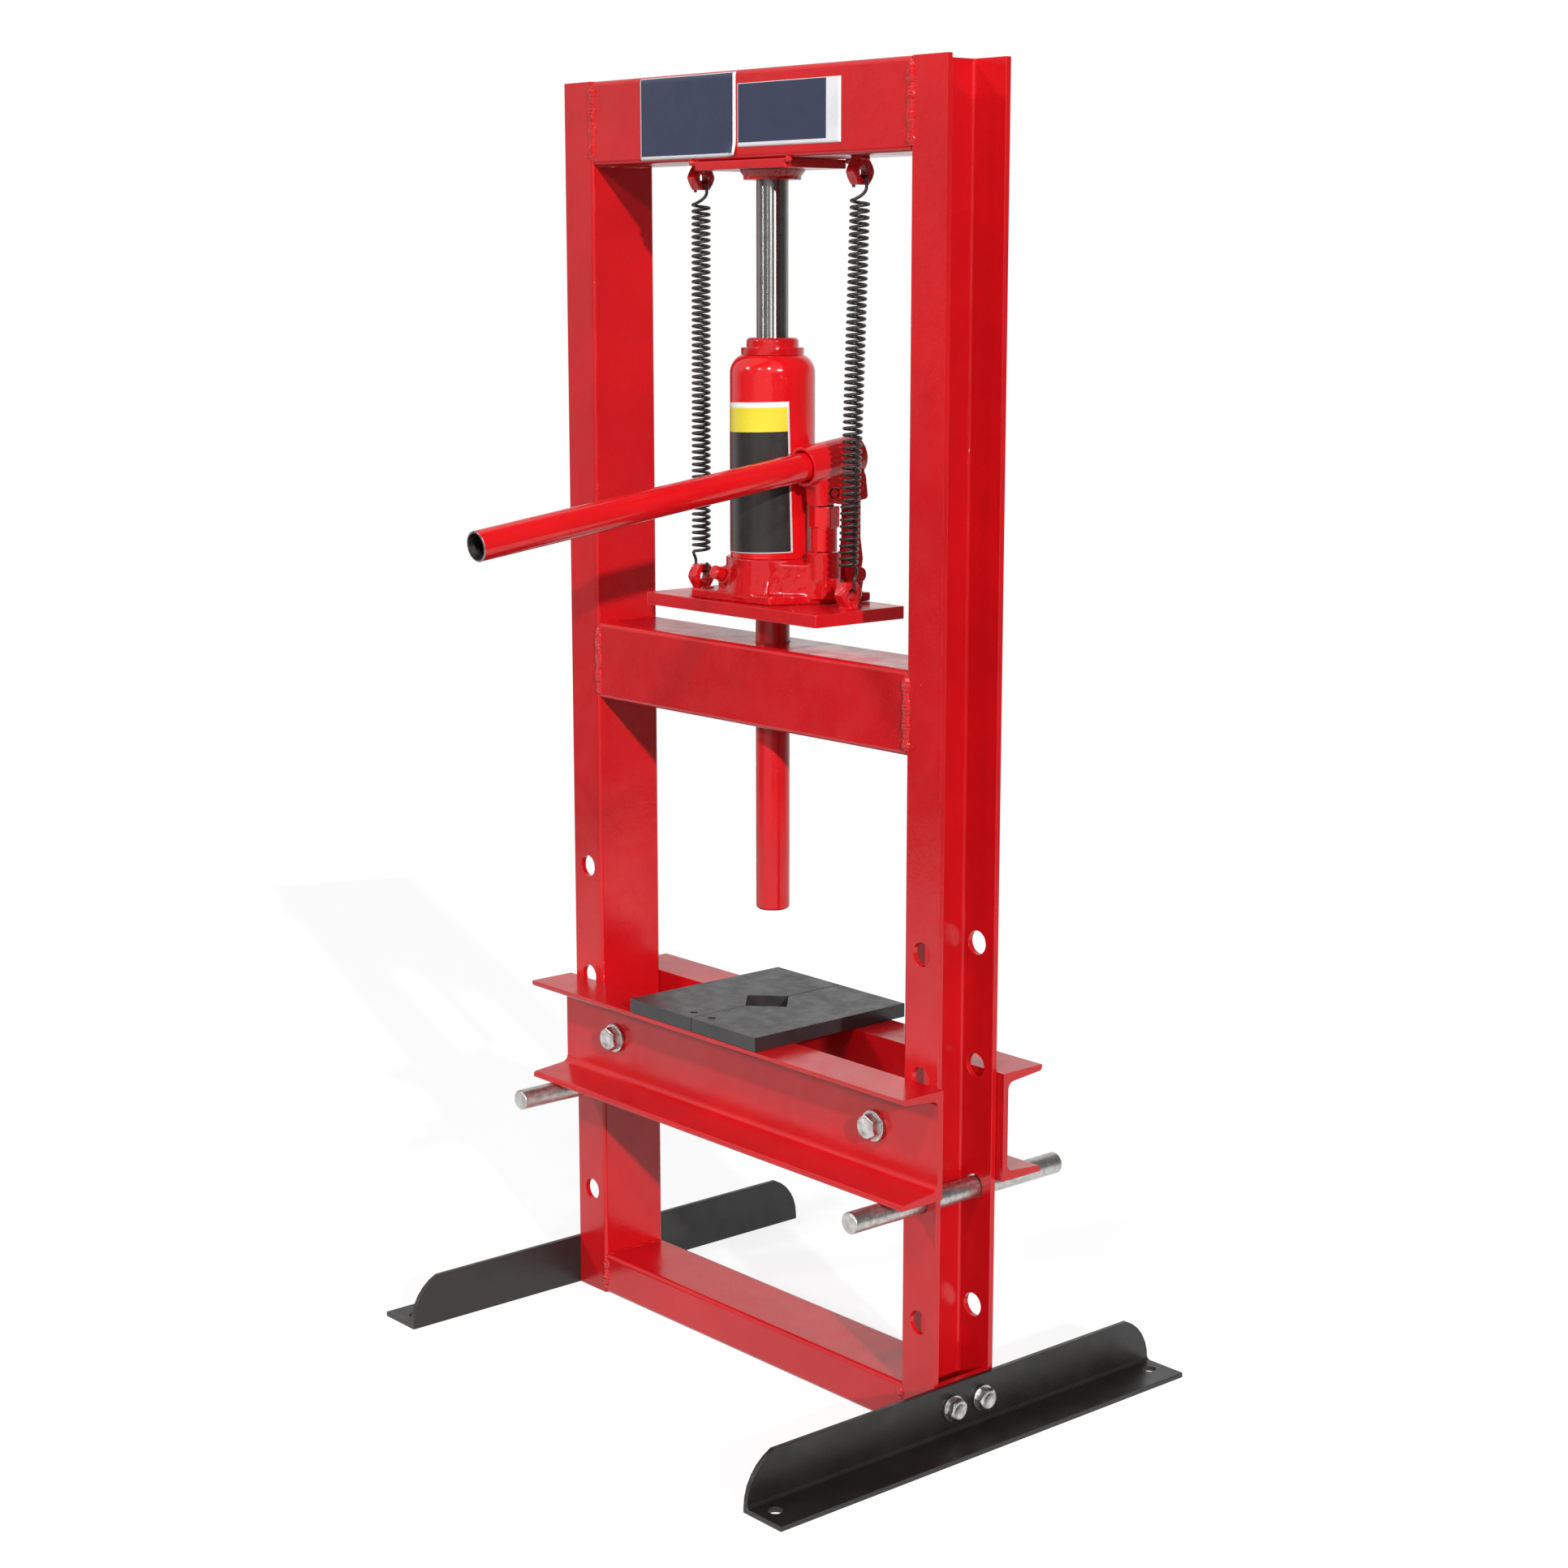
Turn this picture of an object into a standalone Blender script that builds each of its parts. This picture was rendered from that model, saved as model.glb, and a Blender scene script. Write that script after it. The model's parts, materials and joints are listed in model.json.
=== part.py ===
"""Small H-frame hydraulic shop press.

Two channel uprights, opening outward, are welded to three cross beams and
stand on angle-iron feet. A bottle jack stands between the middle and
top beams: its ram pushes on a cup under the top beam, so pumping drives the
jack, its plate and the arbor below it down through the middle beam. Two
extension springs lift them again. The bed is a pair of channels that rests
on two loose pins and carries two notched press plates.

Metres, +Z up, +X to the press's right, -Y to its front. The origin is on the
floor, midway between the uprights.
"""

import math

import bmesh
import bpy
from mathutils import Matrix, Vector

# Fits
SEAT_GAP = 0.0003           # between pieces that bear on each other
BOLT_CLEARANCE = 0.0003     # radial, bolts in their holes
RUNNING_CLEARANCE = 0.0004  # radial, rods and pins that move in a bore
WELD_DEPTH = 0.001          # how far shapes run into each other before they are joined

# Frame
FRAME_WIDTH = 0.452        # over the flange tips of both uprights
CHANNEL_DEPTH = 0.063      # front to rear
CHANNEL_FLANGE = 0.0375
CHANNEL_WALL = 0.0048
CHANNEL_CORNER = 0.003
BOTTOM_BEAM_HEIGHT = 0.0355
CLEAR_HEIGHT = 0.4935      # bottom beam to middle beam
MIDDLE_BEAM_HEIGHT = 0.0645
JACK_BAY_HEIGHT = 0.3745   # middle beam to top beam
TOP_BEAM_HEIGHT = 0.067
BEAM_WALL = 0.004
BEAM_CORNER = 0.004

# Holes for the support pins, counted from the lowest
PIN_HOLES = 4
PIN_HOLE_PITCH = 0.0968
LOWEST_PIN_HOLE = 0.0905
PIN_HOLE_IN_USE = 1        # the second from the bottom
PIN_HOLE_FROM_TIP = 0.0184
PIN_HOLE_PLAY = 0.0008     # radial
PIN_RADIUS = 0.0085
PIN_FRONT_REACH = 0.032    # in front of the bed's flange tips
PIN_REAR_REACH = 0.042
PIN_PUSHED_IN = 0.0035     # the left pin is out by this, the right one in

# Feet
FOOT_LENGTH = 0.4305
FOOT_HEIGHT = 0.0427
FOOT_TREAD = 0.0423
FOOT_WALL = 0.004
FOOT_FILLET = 0.003
FOOT_CORNER = 0.042        # rounded ends of the upright leg
FOOT_OFFSET = 0.0073       # bolt holes are this far from the middle
ANCHOR_HOLE_RADIUS = 0.0055
ANCHOR_FROM_END = 0.0145
ANCHOR_FROM_LEG = 0.019
FOOT_BOLT_SPACING = 0.0316
FOOT_BOLT_HEIGHT = 0.024
FOOT_BOLT_RADIUS = 0.005
FOOT_BOLT_FLATS = 0.016
FOOT_BOLT_HEAD = 0.0064
FOOT_BOLT_STICKS_OUT = 0.002
FOOT_NUT_HEIGHT = 0.008
FOOT_WASHER_RADIUS = 0.0103
FOOT_WASHER_HEIGHT = 0.002
FOOT_PLATE_THICKNESS = 0.005

# Bed
BED_HEIGHT = 0.086
BED_FLANGE = 0.0418
BED_WALL = 0.0052
BED_ROOT = 0.0078          # flange thickness at the web
BED_TOE = 0.0048           # flange thickness at the tip
BED_ROOT_FILLET = 0.006
BED_OVERHANG = 0.0075      # past the uprights' flange tips
BED_TO_UPRIGHT = 0.0005
BED_BOLT_FROM_WEB = 0.0252 # inboard of the upright's web
BED_BOLT_RADIUS = 0.006
BED_BOLT_FLATS = 0.018
BED_BOLT_HEAD = 0.0075
BED_BOLT_STICKS_OUT = 0.004
BED_NUT_HEIGHT = 0.010
BED_WASHER_RADIUS = 0.0123
BED_WASHER_HEIGHT = 0.0025
BED_SPACER_WALL = 0.004

# Press plates
PLATE_WIDTH = 0.0793
PLATE_LENGTH = 0.161
PLATE_THICKNESS = 0.0115
PLATE_PARTING = 0.0006
PLATE_NOTCH_DEPTH = 0.0245
PLATE_NOTCH_HALF = 0.023
PLATE_HOLE_RADIUS = 0.003
PLATE_HOLE_FROM_EDGE = 0.0115
PLATE_HOLE_FROM_FRONT = 0.0125
PLATES_LEFT_OF_CENTRE = 0.0155
PLATES_BEHIND_CENTRE = 0.0068

# Head of the press
HEAD_PLATE_WIDTH = 0.108
HEAD_PLATE_THICKNESS = 0.0068
HEAD_PLATE_LEFT = 0.003    # its middle is this far left of the ram
CUT_EDGE = 0.001           # bevel on the corners of sawn plate
CUP_RADIUS = 0.0225
CUP_FLARE = 0.0035
CUP_STRAIGHT = 0.0026      # below the flare
CUP_HEIGHT = 0.0075

# Jack
RAM_RADIUS = 0.0126
RAM_EXPOSED = 0.1203       # between the gland and the cup at full stroke
RAM_CHAMFER = 0.001
PISTON_LIP = 0.0019        # outside the ram
PISTON_HEIGHT = 0.012
PISTON_BELOW_GLAND = 0.004 # at full stroke
CYLINDER_WALL = 0.0042
CYLINDER_SEAT = 0.006      # how deep the cylinder stands in the base
CYLINDER_TO_MOUTH = 0.0009 # radial, to the reservoir's top
GLAND_RADIUS = 0.0205
GLAND_HEIGHT = 0.0075
GLAND_BEVEL = 0.0018
RING_RADIUS = 0.0247
RING_HEIGHT = 0.0057
RESERVOIR_RADIUS = 0.0335
RESERVOIR_WALL = 0.0025
RESERVOIR_HEIGHT = 0.157
SHOULDER_RADIUS = 0.016    # of the round between its wall and its top
SHOULDER_HEIGHT = 0.0140
JACK_BASE_HEIGHT = 0.034   # plate to the foot of the reservoir
JACK_COLLAR = 0.0035       # base casting outside the reservoir
JACK_COLLAR_NECK = 0.027   # height at which the collar turns straight
JACK_SKIRT = 0.0018        # swell of the collar where it meets the tread
JACK_TREAD_HEIGHT = 0.0068
JACK_TREAD_CORNER = 0.003
JACK_TREAD = ((-0.0132, -0.0016), (-0.0032, 0.0054), (0.0230, 0.0090), (-0.0050, 0.0075))
#                            its front left, front right, rear right and rear left corners,
#                            from the corners of the square round the collar
JACK_TREAD_SIDE = (0.0160, 0.0130)  # the bend in its right side, beyond the collar and in Y
JACK_RIB_BEARINGS = (-128, -48)     # degrees, ribs on the collar
JACK_RIB_HALF = 0.0016
JACK_RIB_FOOT = 0.0045     # how far a rib's foot stands out of the collar
JACK_RIB_HEIGHT = 0.0235

# Pump
PUMP_TO_RESERVOIR = 0.00455
PUMP_BEHIND_RAM = 0.0099
PUMP_HEX_FLATS = 0.021
PUMP_HEX_TURN = math.radians(-18)
PUMP_HEX_HEIGHT = 0.0162
PUMP_BARREL_RADIUS = 0.0103
PUMP_BARREL_HEIGHT = 0.019
PUMP_BOSS_RADIUS = 0.0138
PUMP_BOSS_FOOT = 0.0105    # radius where it runs into the tread
PUMP_BOSS_SWELL = 0.0200   # height at which it reaches its full radius
PUMP_BOSS_HEIGHT = 0.0405
PUMP_BRIDGE_HALF = 0.0100  # web between the boss and the collar, at the boss
PUMP_BRIDGE_HEIGHT = 0.031
PUMP_BRIDGE_INSET = 0.0006 # its sides inside the collar's
PUMP_BORE_FLOOR = 0.009    # above the base's underside
PLUNGER_FOOT = 0.0128      # likewise, with the handle down
PLUNGER_RADIUS = 0.006
PLUNGER_PIN_RADIUS = 0.0035
PLUNGER_PIN_ABOVE_HEX = 0.0104
PLUNGER_SLOT = 0.0026      # extra length of the pin's slot
PLUNGER_TONGUE_HALF = 0.0045

# Handle socket and its link
PIVOT_SPACING = 0.0284     # plunger pin to link pin
LINK_FOOT_HEIGHT = 0.0212  # lower pivot above the base's underside
LINK_BELLY = 0.0115        # its widest place, above the lower pivot
LINK_BELLY_RADIUS = 0.0098
LINK_WAIST = 0.0290        # where its wide foot ends, likewise
LINK_HALF_WIDTH = 0.004
LINK_TOP_RADIUS = 0.0070
LINK_FOOT_RADIUS = 0.0075
LINK_PIN_RADIUS = 0.0035
LINK_PIN_HEAD_RADIUS = 0.0060
LINK_PIN_HEAD = 0.0025
EAR_WALL = 0.005
EAR_RADIUS = 0.0068
EAR_ROOT_FORWARD = 0.003   # its root's middle, in front of the lower pivot
CHEEK_WALL = 0.0055
CHEEK_RADIUS = 0.0105
CHEEK_REACH = 0.019        # from the link pin to the front lobe's centre
CHEEK_REAR = 0.0062        # behind the link pin
CHEEK_CORNER = 0.003
LINK_HEAD_ROOM = 0.0012    # between the link's head and the pocket's roof
SOCKET_FLOOR = 0.0033      # between that roof and the bore
SOCKET_BORE_PLAY = 0.0009
SOCKET_END_WALL = 0.004
SOCKET_WALL = 0.0034
SOCKET_MOUTH = 0.0484      # in front of the link pin
SOCKET_FLARE = 0.0016      # bevel inside its mouth
SOCKET_REAR = 0.007        # behind the link pin
SOCKET_BLOCK_WALL = 0.0057
SOCKET_BLOCK_CORNER = 0.0075
SOCKET_BLOCK_STEP = 0.001  # narrower than the cheeks, each side
SOCKET_BLOCK_DEPTH = 0.0082  # below the plunger pin
HANDLE_RADIUS = 0.0112
HANDLE_WALL = 0.0016
HANDLE_EXPOSED = 0.3077
HANDLE_INSERTED = 0.045
HANDLE_DROP = math.radians(7.8)

# Release valve
VALVE_LEFT_OF_RAM = 0.016
VALVE_HEIGHT = 0.0205
VALVE_RISE = math.radians(19)  # its axis climbs toward the front
VALVE_BOSS_RADIUS = 0.0072
VALVE_BOSS_BEYOND = 0.0015  # its face, in front of the collar
VALVE_BLOCK_HALF = 0.0095   # the block of the casting that carries the boss
VALVE_BLOCK_HEIGHT = 0.026
VALVE_KNOB_RADIUS = 0.0053
VALVE_KNOB_LENGTH = 0.010
VALVE_KNOB_BEVEL = 0.0008
VALVE_STEM_RADIUS = 0.0035
VALVE_STEM_DEPTH = 0.012
VALVE_BORE_SPARE = 0.001   # beyond the stem

# Carriage plate and arbor
CARRIAGE_HALF_X = 0.104
CARRIAGE_HALF_Y = 0.0462
CARRIAGE_THICKNESS = 0.010
ARBOR_RADIUS = 0.0136
ARBOR_BELOW_BEAM = 0.153   # arbor's nose under the middle beam
ARBOR_HOLE_PLAY = 0.0006
ARBOR_CHAMFER = 0.0015

# Return springs and the nuts they hook into
SPRING_TURNS = 55
SPRING_COIL_RADIUS = 0.0066  # to the wire's centre
SPRING_WIRE_RADIUS = 0.00125
SPRING_SIDES_PER_TURN = 6
SPRING_TOP_TO_NUT = 0.0205
SPRING_FOOT_TO_NUT = 0.0205
SPRING_HOOK = 0.0075
SPRING_HOOK_BEND = 0.0013
SPRING_HOOK_TO_NUT = 0.0009
SPRING_LEAD_IN = 0.0025    # rise of the wire from the coil to its hook
SPRING_NUT_FLATS = 0.019
SPRING_NUT_HEIGHT = 0.010
SPRING_NUT_BORE = 0.0051
LOWER_NUT_X = 0.0895
UPPER_LEFT_NUT_X = -0.0875
UPPER_RIGHT_NUT_X = 0.1008

# Levels and lines that several pieces share
HALF_WIDTH = FRAME_WIDTH / 2
HALF_DEPTH = CHANNEL_DEPTH / 2
WEB_X = HALF_WIDTH - CHANNEL_FLANGE
BEAM_HALF_LENGTH = WEB_X - SEAT_GAP
MIDDLE_BEAM_Z = BOTTOM_BEAM_HEIGHT + CLEAR_HEIGHT
MIDDLE_BEAM_TOP = MIDDLE_BEAM_Z + MIDDLE_BEAM_HEIGHT
TOP_BEAM_Z = MIDDLE_BEAM_TOP + JACK_BAY_HEIGHT
FRAME_HEIGHT = TOP_BEAM_Z + TOP_BEAM_HEIGHT
PIN_HOLE_X = HALF_WIDTH - PIN_HOLE_FROM_TIP
PIN_HOLE_RADIUS = PIN_RADIUS + PIN_HOLE_PLAY
PIN_Z = LOWEST_PIN_HOLE + PIN_HOLE_IN_USE * PIN_HOLE_PITCH - PIN_HOLE_PLAY + SEAT_GAP
BED_Z = PIN_Z + PIN_RADIUS + SEAT_GAP
BED_WEB_Y = HALF_DEPTH + BED_TO_UPRIGHT
BED_TIP_Y = BED_WEB_Y + BED_FLANGE
BED_BOLT_X = WEB_X - BED_BOLT_FROM_WEB
FOOT_X = HALF_WIDTH + SEAT_GAP
HEAD_PLATE_Z = TOP_BEAM_Z - SEAT_GAP - HEAD_PLATE_THICKNESS
CUP_Z = HEAD_PLATE_Z - SEAT_GAP - CUP_HEIGHT
GLAND_TOP_Z = CUP_Z - RAM_EXPOSED
RING_TOP_Z = GLAND_TOP_Z - GLAND_HEIGHT
RESERVOIR_TOP_Z = RING_TOP_Z - RING_HEIGHT - SEAT_GAP
RESERVOIR_Z = RESERVOIR_TOP_Z - RESERVOIR_HEIGHT
JACK_Z = RESERVOIR_Z - SEAT_GAP - JACK_BASE_HEIGHT
CARRIAGE_TOP_Z = JACK_Z - SEAT_GAP
COLLAR_RADIUS = RESERVOIR_RADIUS + JACK_COLLAR
VALVE_BOSS_FRONT = COLLAR_RADIUS + VALVE_BOSS_BEYOND
PISTON_RADIUS = RAM_RADIUS + PISTON_LIP
BORE_RADIUS = PISTON_RADIUS + RUNNING_CLEARANCE
CYLINDER_RADIUS = BORE_RADIUS + CYLINDER_WALL
PUMP_HEX_RADIUS = PUMP_HEX_FLATS / math.sqrt(3)
PUMP_X = RESERVOIR_RADIUS + PUMP_TO_RESERVOIR + PUMP_HEX_RADIUS
PUMP_Y = PUMP_BEHIND_RAM
PUMP_BARREL_Z = JACK_Z + PUMP_BOSS_HEIGHT + SEAT_GAP
PUMP_TOP_Z = PUMP_BARREL_Z + PUMP_BARREL_HEIGHT + PUMP_HEX_HEIGHT
PLUNGER_PIN_Z = PUMP_TOP_Z + PLUNGER_PIN_ABOVE_HEX
LINK_TOP = Vector((PUMP_X, PUMP_Y + PIVOT_SPACING * math.cos(HANDLE_DROP),
                   PLUNGER_PIN_Z + PIVOT_SPACING * math.sin(HANDLE_DROP)))
LINK_FOOT = Vector((PUMP_X, LINK_TOP.y, JACK_Z + LINK_FOOT_HEIGHT))
LINK_LENGTH = LINK_TOP.z - LINK_FOOT.z
EAR_OUTER = LINK_HALF_WIDTH + SEAT_GAP + EAR_WALL
SOCKET_BORE = HANDLE_RADIUS + SOCKET_BORE_PLAY
SOCKET_RADIUS = SOCKET_BORE + SOCKET_WALL
POCKET_ROOF = LINK_TOP_RADIUS + LINK_HEAD_ROOM
SOCKET_AXIS_ABOVE_PIVOT = POCKET_ROOF + SOCKET_FLOOR + SOCKET_BORE
CHEEK_INNER = max(LINK_HALF_WIDTH, PLUNGER_RADIUS) + 2 * SEAT_GAP
CHEEK_OUTER = CHEEK_INNER + CHEEK_WALL
SPRING_NUT_RADIUS = SPRING_NUT_FLATS / math.sqrt(3)
UPPER_NUT_Z = TOP_BEAM_Z - SEAT_GAP - SPRING_NUT_RADIUS
LOWER_NUT_Z = CARRIAGE_TOP_Z + SEAT_GAP + SPRING_NUT_RADIUS

ROUND = 32                 # sides of a large turned piece
SMALL_ROUND = 20           # sides of a bolt or a small hole


# ---------------------------------------------------------------- mesh tools

def arc(centre, radius, start, end, steps):
    """Points on an arc in a plane, from one angle to the other in degrees."""
    points = []
    for i in range(steps + 1):
        angle = math.radians(start + (end - start) * i / steps)
        points.append((centre[0] + radius * math.cos(angle),
                       centre[1] + radius * math.sin(angle)))
    return points


def rounded_box_outline(half_x, half_y, radius, steps=3):
    """Counter-clockwise rectangle with rounded corners."""
    inner_x, inner_y = half_x - radius, half_y - radius
    outline = []
    for sign_x, sign_y, start in ((1, 1, 0), (-1, 1, 90), (-1, -1, 180), (1, -1, 270)):
        outline += arc((sign_x * inner_x, sign_y * inner_y), radius, start, start + 90, steps)
    return outline


def hex_outline(across_flats, corner_first=True):
    """Hexagon with a corner, or a flat, on the plane's first axis."""
    start = 0 if corner_first else 30
    return arc((0, 0), across_flats / math.sqrt(3), start, start + 300, 5)


AXES = {
    "X": Matrix(((0, 0, 1, 0), (1, 0, 0, 0), (0, 1, 0, 0), (0, 0, 0, 1))),
    "Y": Matrix(((0, 1, 0, 0), (0, 0, 1, 0), (1, 0, 0, 0), (0, 0, 0, 1))),
    "Z": Matrix.Identity(4),
}


def prism(outline, low, high, axis="Z", at=(0, 0, 0)):
    """Extrude an outline along an axis; outlines are in YZ, ZX or XY."""
    shape = bmesh.new()
    bottom = [shape.verts.new((u, v, low)) for u, v in outline]
    top = [shape.verts.new((u, v, high)) for u, v in outline]
    shape.faces.new(bottom[::-1])
    shape.faces.new(top)
    for i, corner in enumerate(bottom):
        j = (i + 1) % len(bottom)
        shape.faces.new((corner, bottom[j], top[j], top[i]))
    return settle(shape, axis, at)


def pipe(outer, inner, low, high, axis="Z", at=(0, 0, 0)):
    """Extrude the ring between two outlines with the same number of points."""
    shape = bmesh.new()
    rings = [[shape.verts.new((u, v, level)) for u, v in outline]
             for outline, level in ((outer, low), (outer, high), (inner, high), (inner, low))]
    bridge_closed(shape, rings + rings[:1])
    return settle(shape, axis, at)


def turned(profile, axis="Z", at=(0, 0, 0), sides=ROUND):
    """Turn a closed profile of (radius, height) points about an axis."""
    shape = bmesh.new()
    rings = []
    for radius, height in profile:
        if radius < 1e-9:
            rings.append([shape.verts.new((0, 0, height))])
        else:
            rings.append([shape.verts.new((radius * math.cos(math.tau * k / sides),
                                           radius * math.sin(math.tau * k / sides), height))
                          for k in range(sides)])
    closed = len(rings[0]) > 1 and len(rings[-1]) > 1
    bridge_closed(shape, rings + rings[:1] if closed else rings)
    return settle(shape, axis, at)


def bridge_closed(shape, rings):
    """Join consecutive rings of points, any of which may be a single point."""
    for low, high in zip(rings, rings[1:]):
        count = max(len(low), len(high))
        for k in range(count):
            n = (k + 1) % count
            corners = [low[k % len(low)], low[n % len(low)], high[n % len(high)], high[k % len(high)]]
            face = list(dict.fromkeys(corners))
            shape.faces.new(face)


def rod(radius, low, high, axis="Z", at=(0, 0, 0), sides=SMALL_ROUND):
    """A plain cylinder."""
    return turned([(0, low), (radius, low), (radius, high), (0, high)], axis, at, sides)


def tube(outer, inner, low, high, axis="Z", at=(0, 0, 0), sides=ROUND):
    """A plain tube, open at both ends."""
    return turned([(inner, low), (outer, low), (outer, high), (inner, high)], axis, at, sides)


def box(x_range, y_range, z_range):
    """A block between two corners."""
    outline = [(x_range[0], y_range[0]), (x_range[1], y_range[0]),
               (x_range[1], y_range[1]), (x_range[0], y_range[1])]
    return prism(outline, *z_range)


def settle(shape, axis, at):
    """Lay a shape built about Z along its axis, and move it into place."""
    shape.transform(Matrix.Translation(at) @ AXES[axis])
    bmesh.ops.recalc_face_normals(shape, faces=shape.faces)
    return shape


def boolean(operation, body, *others):
    """Join shapes to a body, or cut them from it."""
    scratch = []
    for shape in (body, *others):
        mesh = bpy.data.meshes.new("scratch")
        shape.to_mesh(mesh)
        shape.free()
        scratch.append(bpy.data.objects.new("scratch", mesh))
        bpy.context.scene.collection.objects.link(scratch[-1])
    for other in scratch[1:]:
        modifier = scratch[0].modifiers.new("boolean", "BOOLEAN")
        modifier.operation = operation
        modifier.object = other
    result = bmesh.new()
    result.from_object(scratch[0], bpy.context.evaluated_depsgraph_get())
    for item in scratch:
        mesh = item.data
        bpy.data.objects.remove(item)
        bpy.data.meshes.remove(mesh)
    bmesh.ops.remove_doubles(result, verts=result.verts, dist=1e-6)
    bmesh.ops.dissolve_limit(result, angle_limit=math.radians(0.5),
                             verts=result.verts, edges=result.edges)
    return result


def union(body, *others):
    return boolean("UNION", body, *others)


def cut(body, *others):
    return boolean("DIFFERENCE", body, *others)


def swept_wire(path, radius, sides):
    """A wire of even thickness along a path, with flat ends."""
    shape = bmesh.new()
    points = [Vector(p) for p in path]
    side = None
    rings = []
    for i, point in enumerate(points):
        ahead = points[min(i + 1, len(points) - 1)]
        behind = points[max(i - 1, 0)]
        along = (ahead - behind).normalized()
        side = along.orthogonal() if side is None else side - along * side.dot(along)
        side.normalize()
        up = along.cross(side)
        rings.append([shape.verts.new(point + radius * (math.cos(math.tau * k / sides) * side
                                                        + math.sin(math.tau * k / sides) * up))
                      for k in range(sides)])
    bridge_closed(shape, rings)
    shape.faces.new(rings[0])
    shape.faces.new(rings[-1])
    bmesh.ops.recalc_face_normals(shape, faces=shape.faces)
    return shape


# ---------------------------------------------------- materials and placing

def paint(name, colour, roughness=0.4, metallic=0.0):
    material = bpy.data.materials.new(name)
    material.use_nodes = True
    material.diffuse_color = (*colour, 1)
    shader = material.node_tree.nodes["Principled BSDF"]
    shader.inputs["Base Color"].default_value = (*colour, 1)
    shader.inputs["Roughness"].default_value = roughness
    shader.inputs["Metallic"].default_value = metallic
    return material


FINISHES = {
    "red": ((0.62, 0.018, 0.018), 0.38, 0.0),
    "black": ((0.035, 0.03, 0.03), 0.4, 0.0),
    "plate": ((0.03, 0.03, 0.032), 0.5, 0.0),
    "zinc": ((0.62, 0.62, 0.6), 0.3, 1.0),
    "chrome": ((0.6, 0.6, 0.6), 0.12, 1.0),
    "steel": ((0.35, 0.35, 0.35), 0.4, 1.0),
    "wire": ((0.03, 0.03, 0.03), 0.35, 0.6),
}


def add_piece(name, shape, finish, parent=None, location=(0, 0, 0), tilt=0.0):
    """Turn a finished shape into the named object, smooth where it is round."""
    mesh = bpy.data.meshes.new(name)
    shape.to_mesh(mesh)
    shape.free()
    mesh.shade_smooth()
    mesh.set_sharp_from_angle(angle=math.radians(35))
    mesh.materials.append(paint(name, *FINISHES[finish]))
    piece = bpy.data.objects.new(name, mesh)
    bpy.context.scene.collection.objects.link(piece)
    piece.location = location
    piece.rotation_euler.x = tilt
    if parent:
        piece.parent = parent
    return piece


def add_axis(name, location, parent=None, tilt=0.0):
    """An empty on a joint's axis; what moves there is parented to it."""
    empty = bpy.data.objects.new(name, None)
    empty.empty_display_size = 0.03
    bpy.context.scene.collection.objects.link(empty)
    empty.location = location
    empty.rotation_euler.x = tilt
    if parent:
        empty.parent = parent
    return empty


# -------------------------------------------------------------------- frame

def channel_outline(sign):
    """Section of the right upright for sign 1, the left one for -1."""
    web, tip = WEB_X, HALF_WIDTH
    inner_web = web + CHANNEL_WALL
    inner_y = HALF_DEPTH - CHANNEL_WALL
    r = CHANNEL_CORNER
    half = [(tip, inner_y), (inner_web + r, inner_y)]
    half += arc((inner_web + r, inner_y - r), r, 90, 180, 3)[1:]
    lower = [(x, -y) for x, y in reversed(half)]
    outer = [(tip, -HALF_DEPTH)]
    outer += list(reversed(arc((web + r, -HALF_DEPTH + r), r, 180, 270, 3)))
    outer += list(reversed(arc((web + r, HALF_DEPTH - r), r, 90, 180, 3)))
    outer += [(tip, HALF_DEPTH)]
    return [(sign * x, y) for x, y in half + lower + outer]


def make_upright(name, sign):
    shape = prism(channel_outline(sign), 0, FRAME_HEIGHT)
    drills = [rod(PIN_HOLE_RADIUS, -CHANNEL_DEPTH, CHANNEL_DEPTH, "Y",
                  (sign * PIN_HOLE_X, 0, LOWEST_PIN_HOLE + i * PIN_HOLE_PITCH))
              for i in range(PIN_HOLES)]
    add_piece(name, cut(shape, *drills), "red")


def make_beam(name, z, height, arbor_hole=False):
    """A rectangular tube between the two webs."""
    middle = (0, 0, z + height / 2)
    outer = rounded_box_outline(HALF_DEPTH, height / 2, BEAM_CORNER)
    inner = rounded_box_outline(HALF_DEPTH - BEAM_WALL, height / 2 - BEAM_WALL, BEAM_CORNER / 2)
    shape = pipe(outer, inner, -BEAM_HALF_LENGTH, BEAM_HALF_LENGTH, "X", middle)
    if arbor_hole:
        hole = rod(ARBOR_RADIUS + ARBOR_HOLE_PLAY, z - height, z + 2 * height, sides=ROUND)
        shape = cut(shape, hole)
    add_piece(name, shape, "red")


def make_head():
    """Plate, ram cup and spring nuts welded under the top beam."""
    plate = rounded_box_outline(HEAD_PLATE_WIDTH / 2, HALF_DEPTH, CUT_EDGE, 1)
    add_piece("head_plate", prism(plate, HEAD_PLATE_Z, HEAD_PLATE_Z + HEAD_PLATE_THICKNESS,
                                  at=(-HEAD_PLATE_LEFT, 0, 0)), "red")
    bore = RAM_RADIUS + RUNNING_CLEARANCE
    cup = [(bore, 0), (CUP_RADIUS, 0), (CUP_RADIUS, CUP_STRAIGHT),
           (CUP_RADIUS + CUP_FLARE, CUP_HEIGHT), (bore, CUP_HEIGHT)]
    add_piece("ram_cup", turned(cup, at=(0, 0, CUP_Z)), "red")
    add_piece("upper_nut_left", spring_nut(), "red", location=(UPPER_LEFT_NUT_X, 0, UPPER_NUT_Z))
    add_piece("upper_nut_right", spring_nut(), "red", location=(UPPER_RIGHT_NUT_X, 0, UPPER_NUT_Z))


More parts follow.
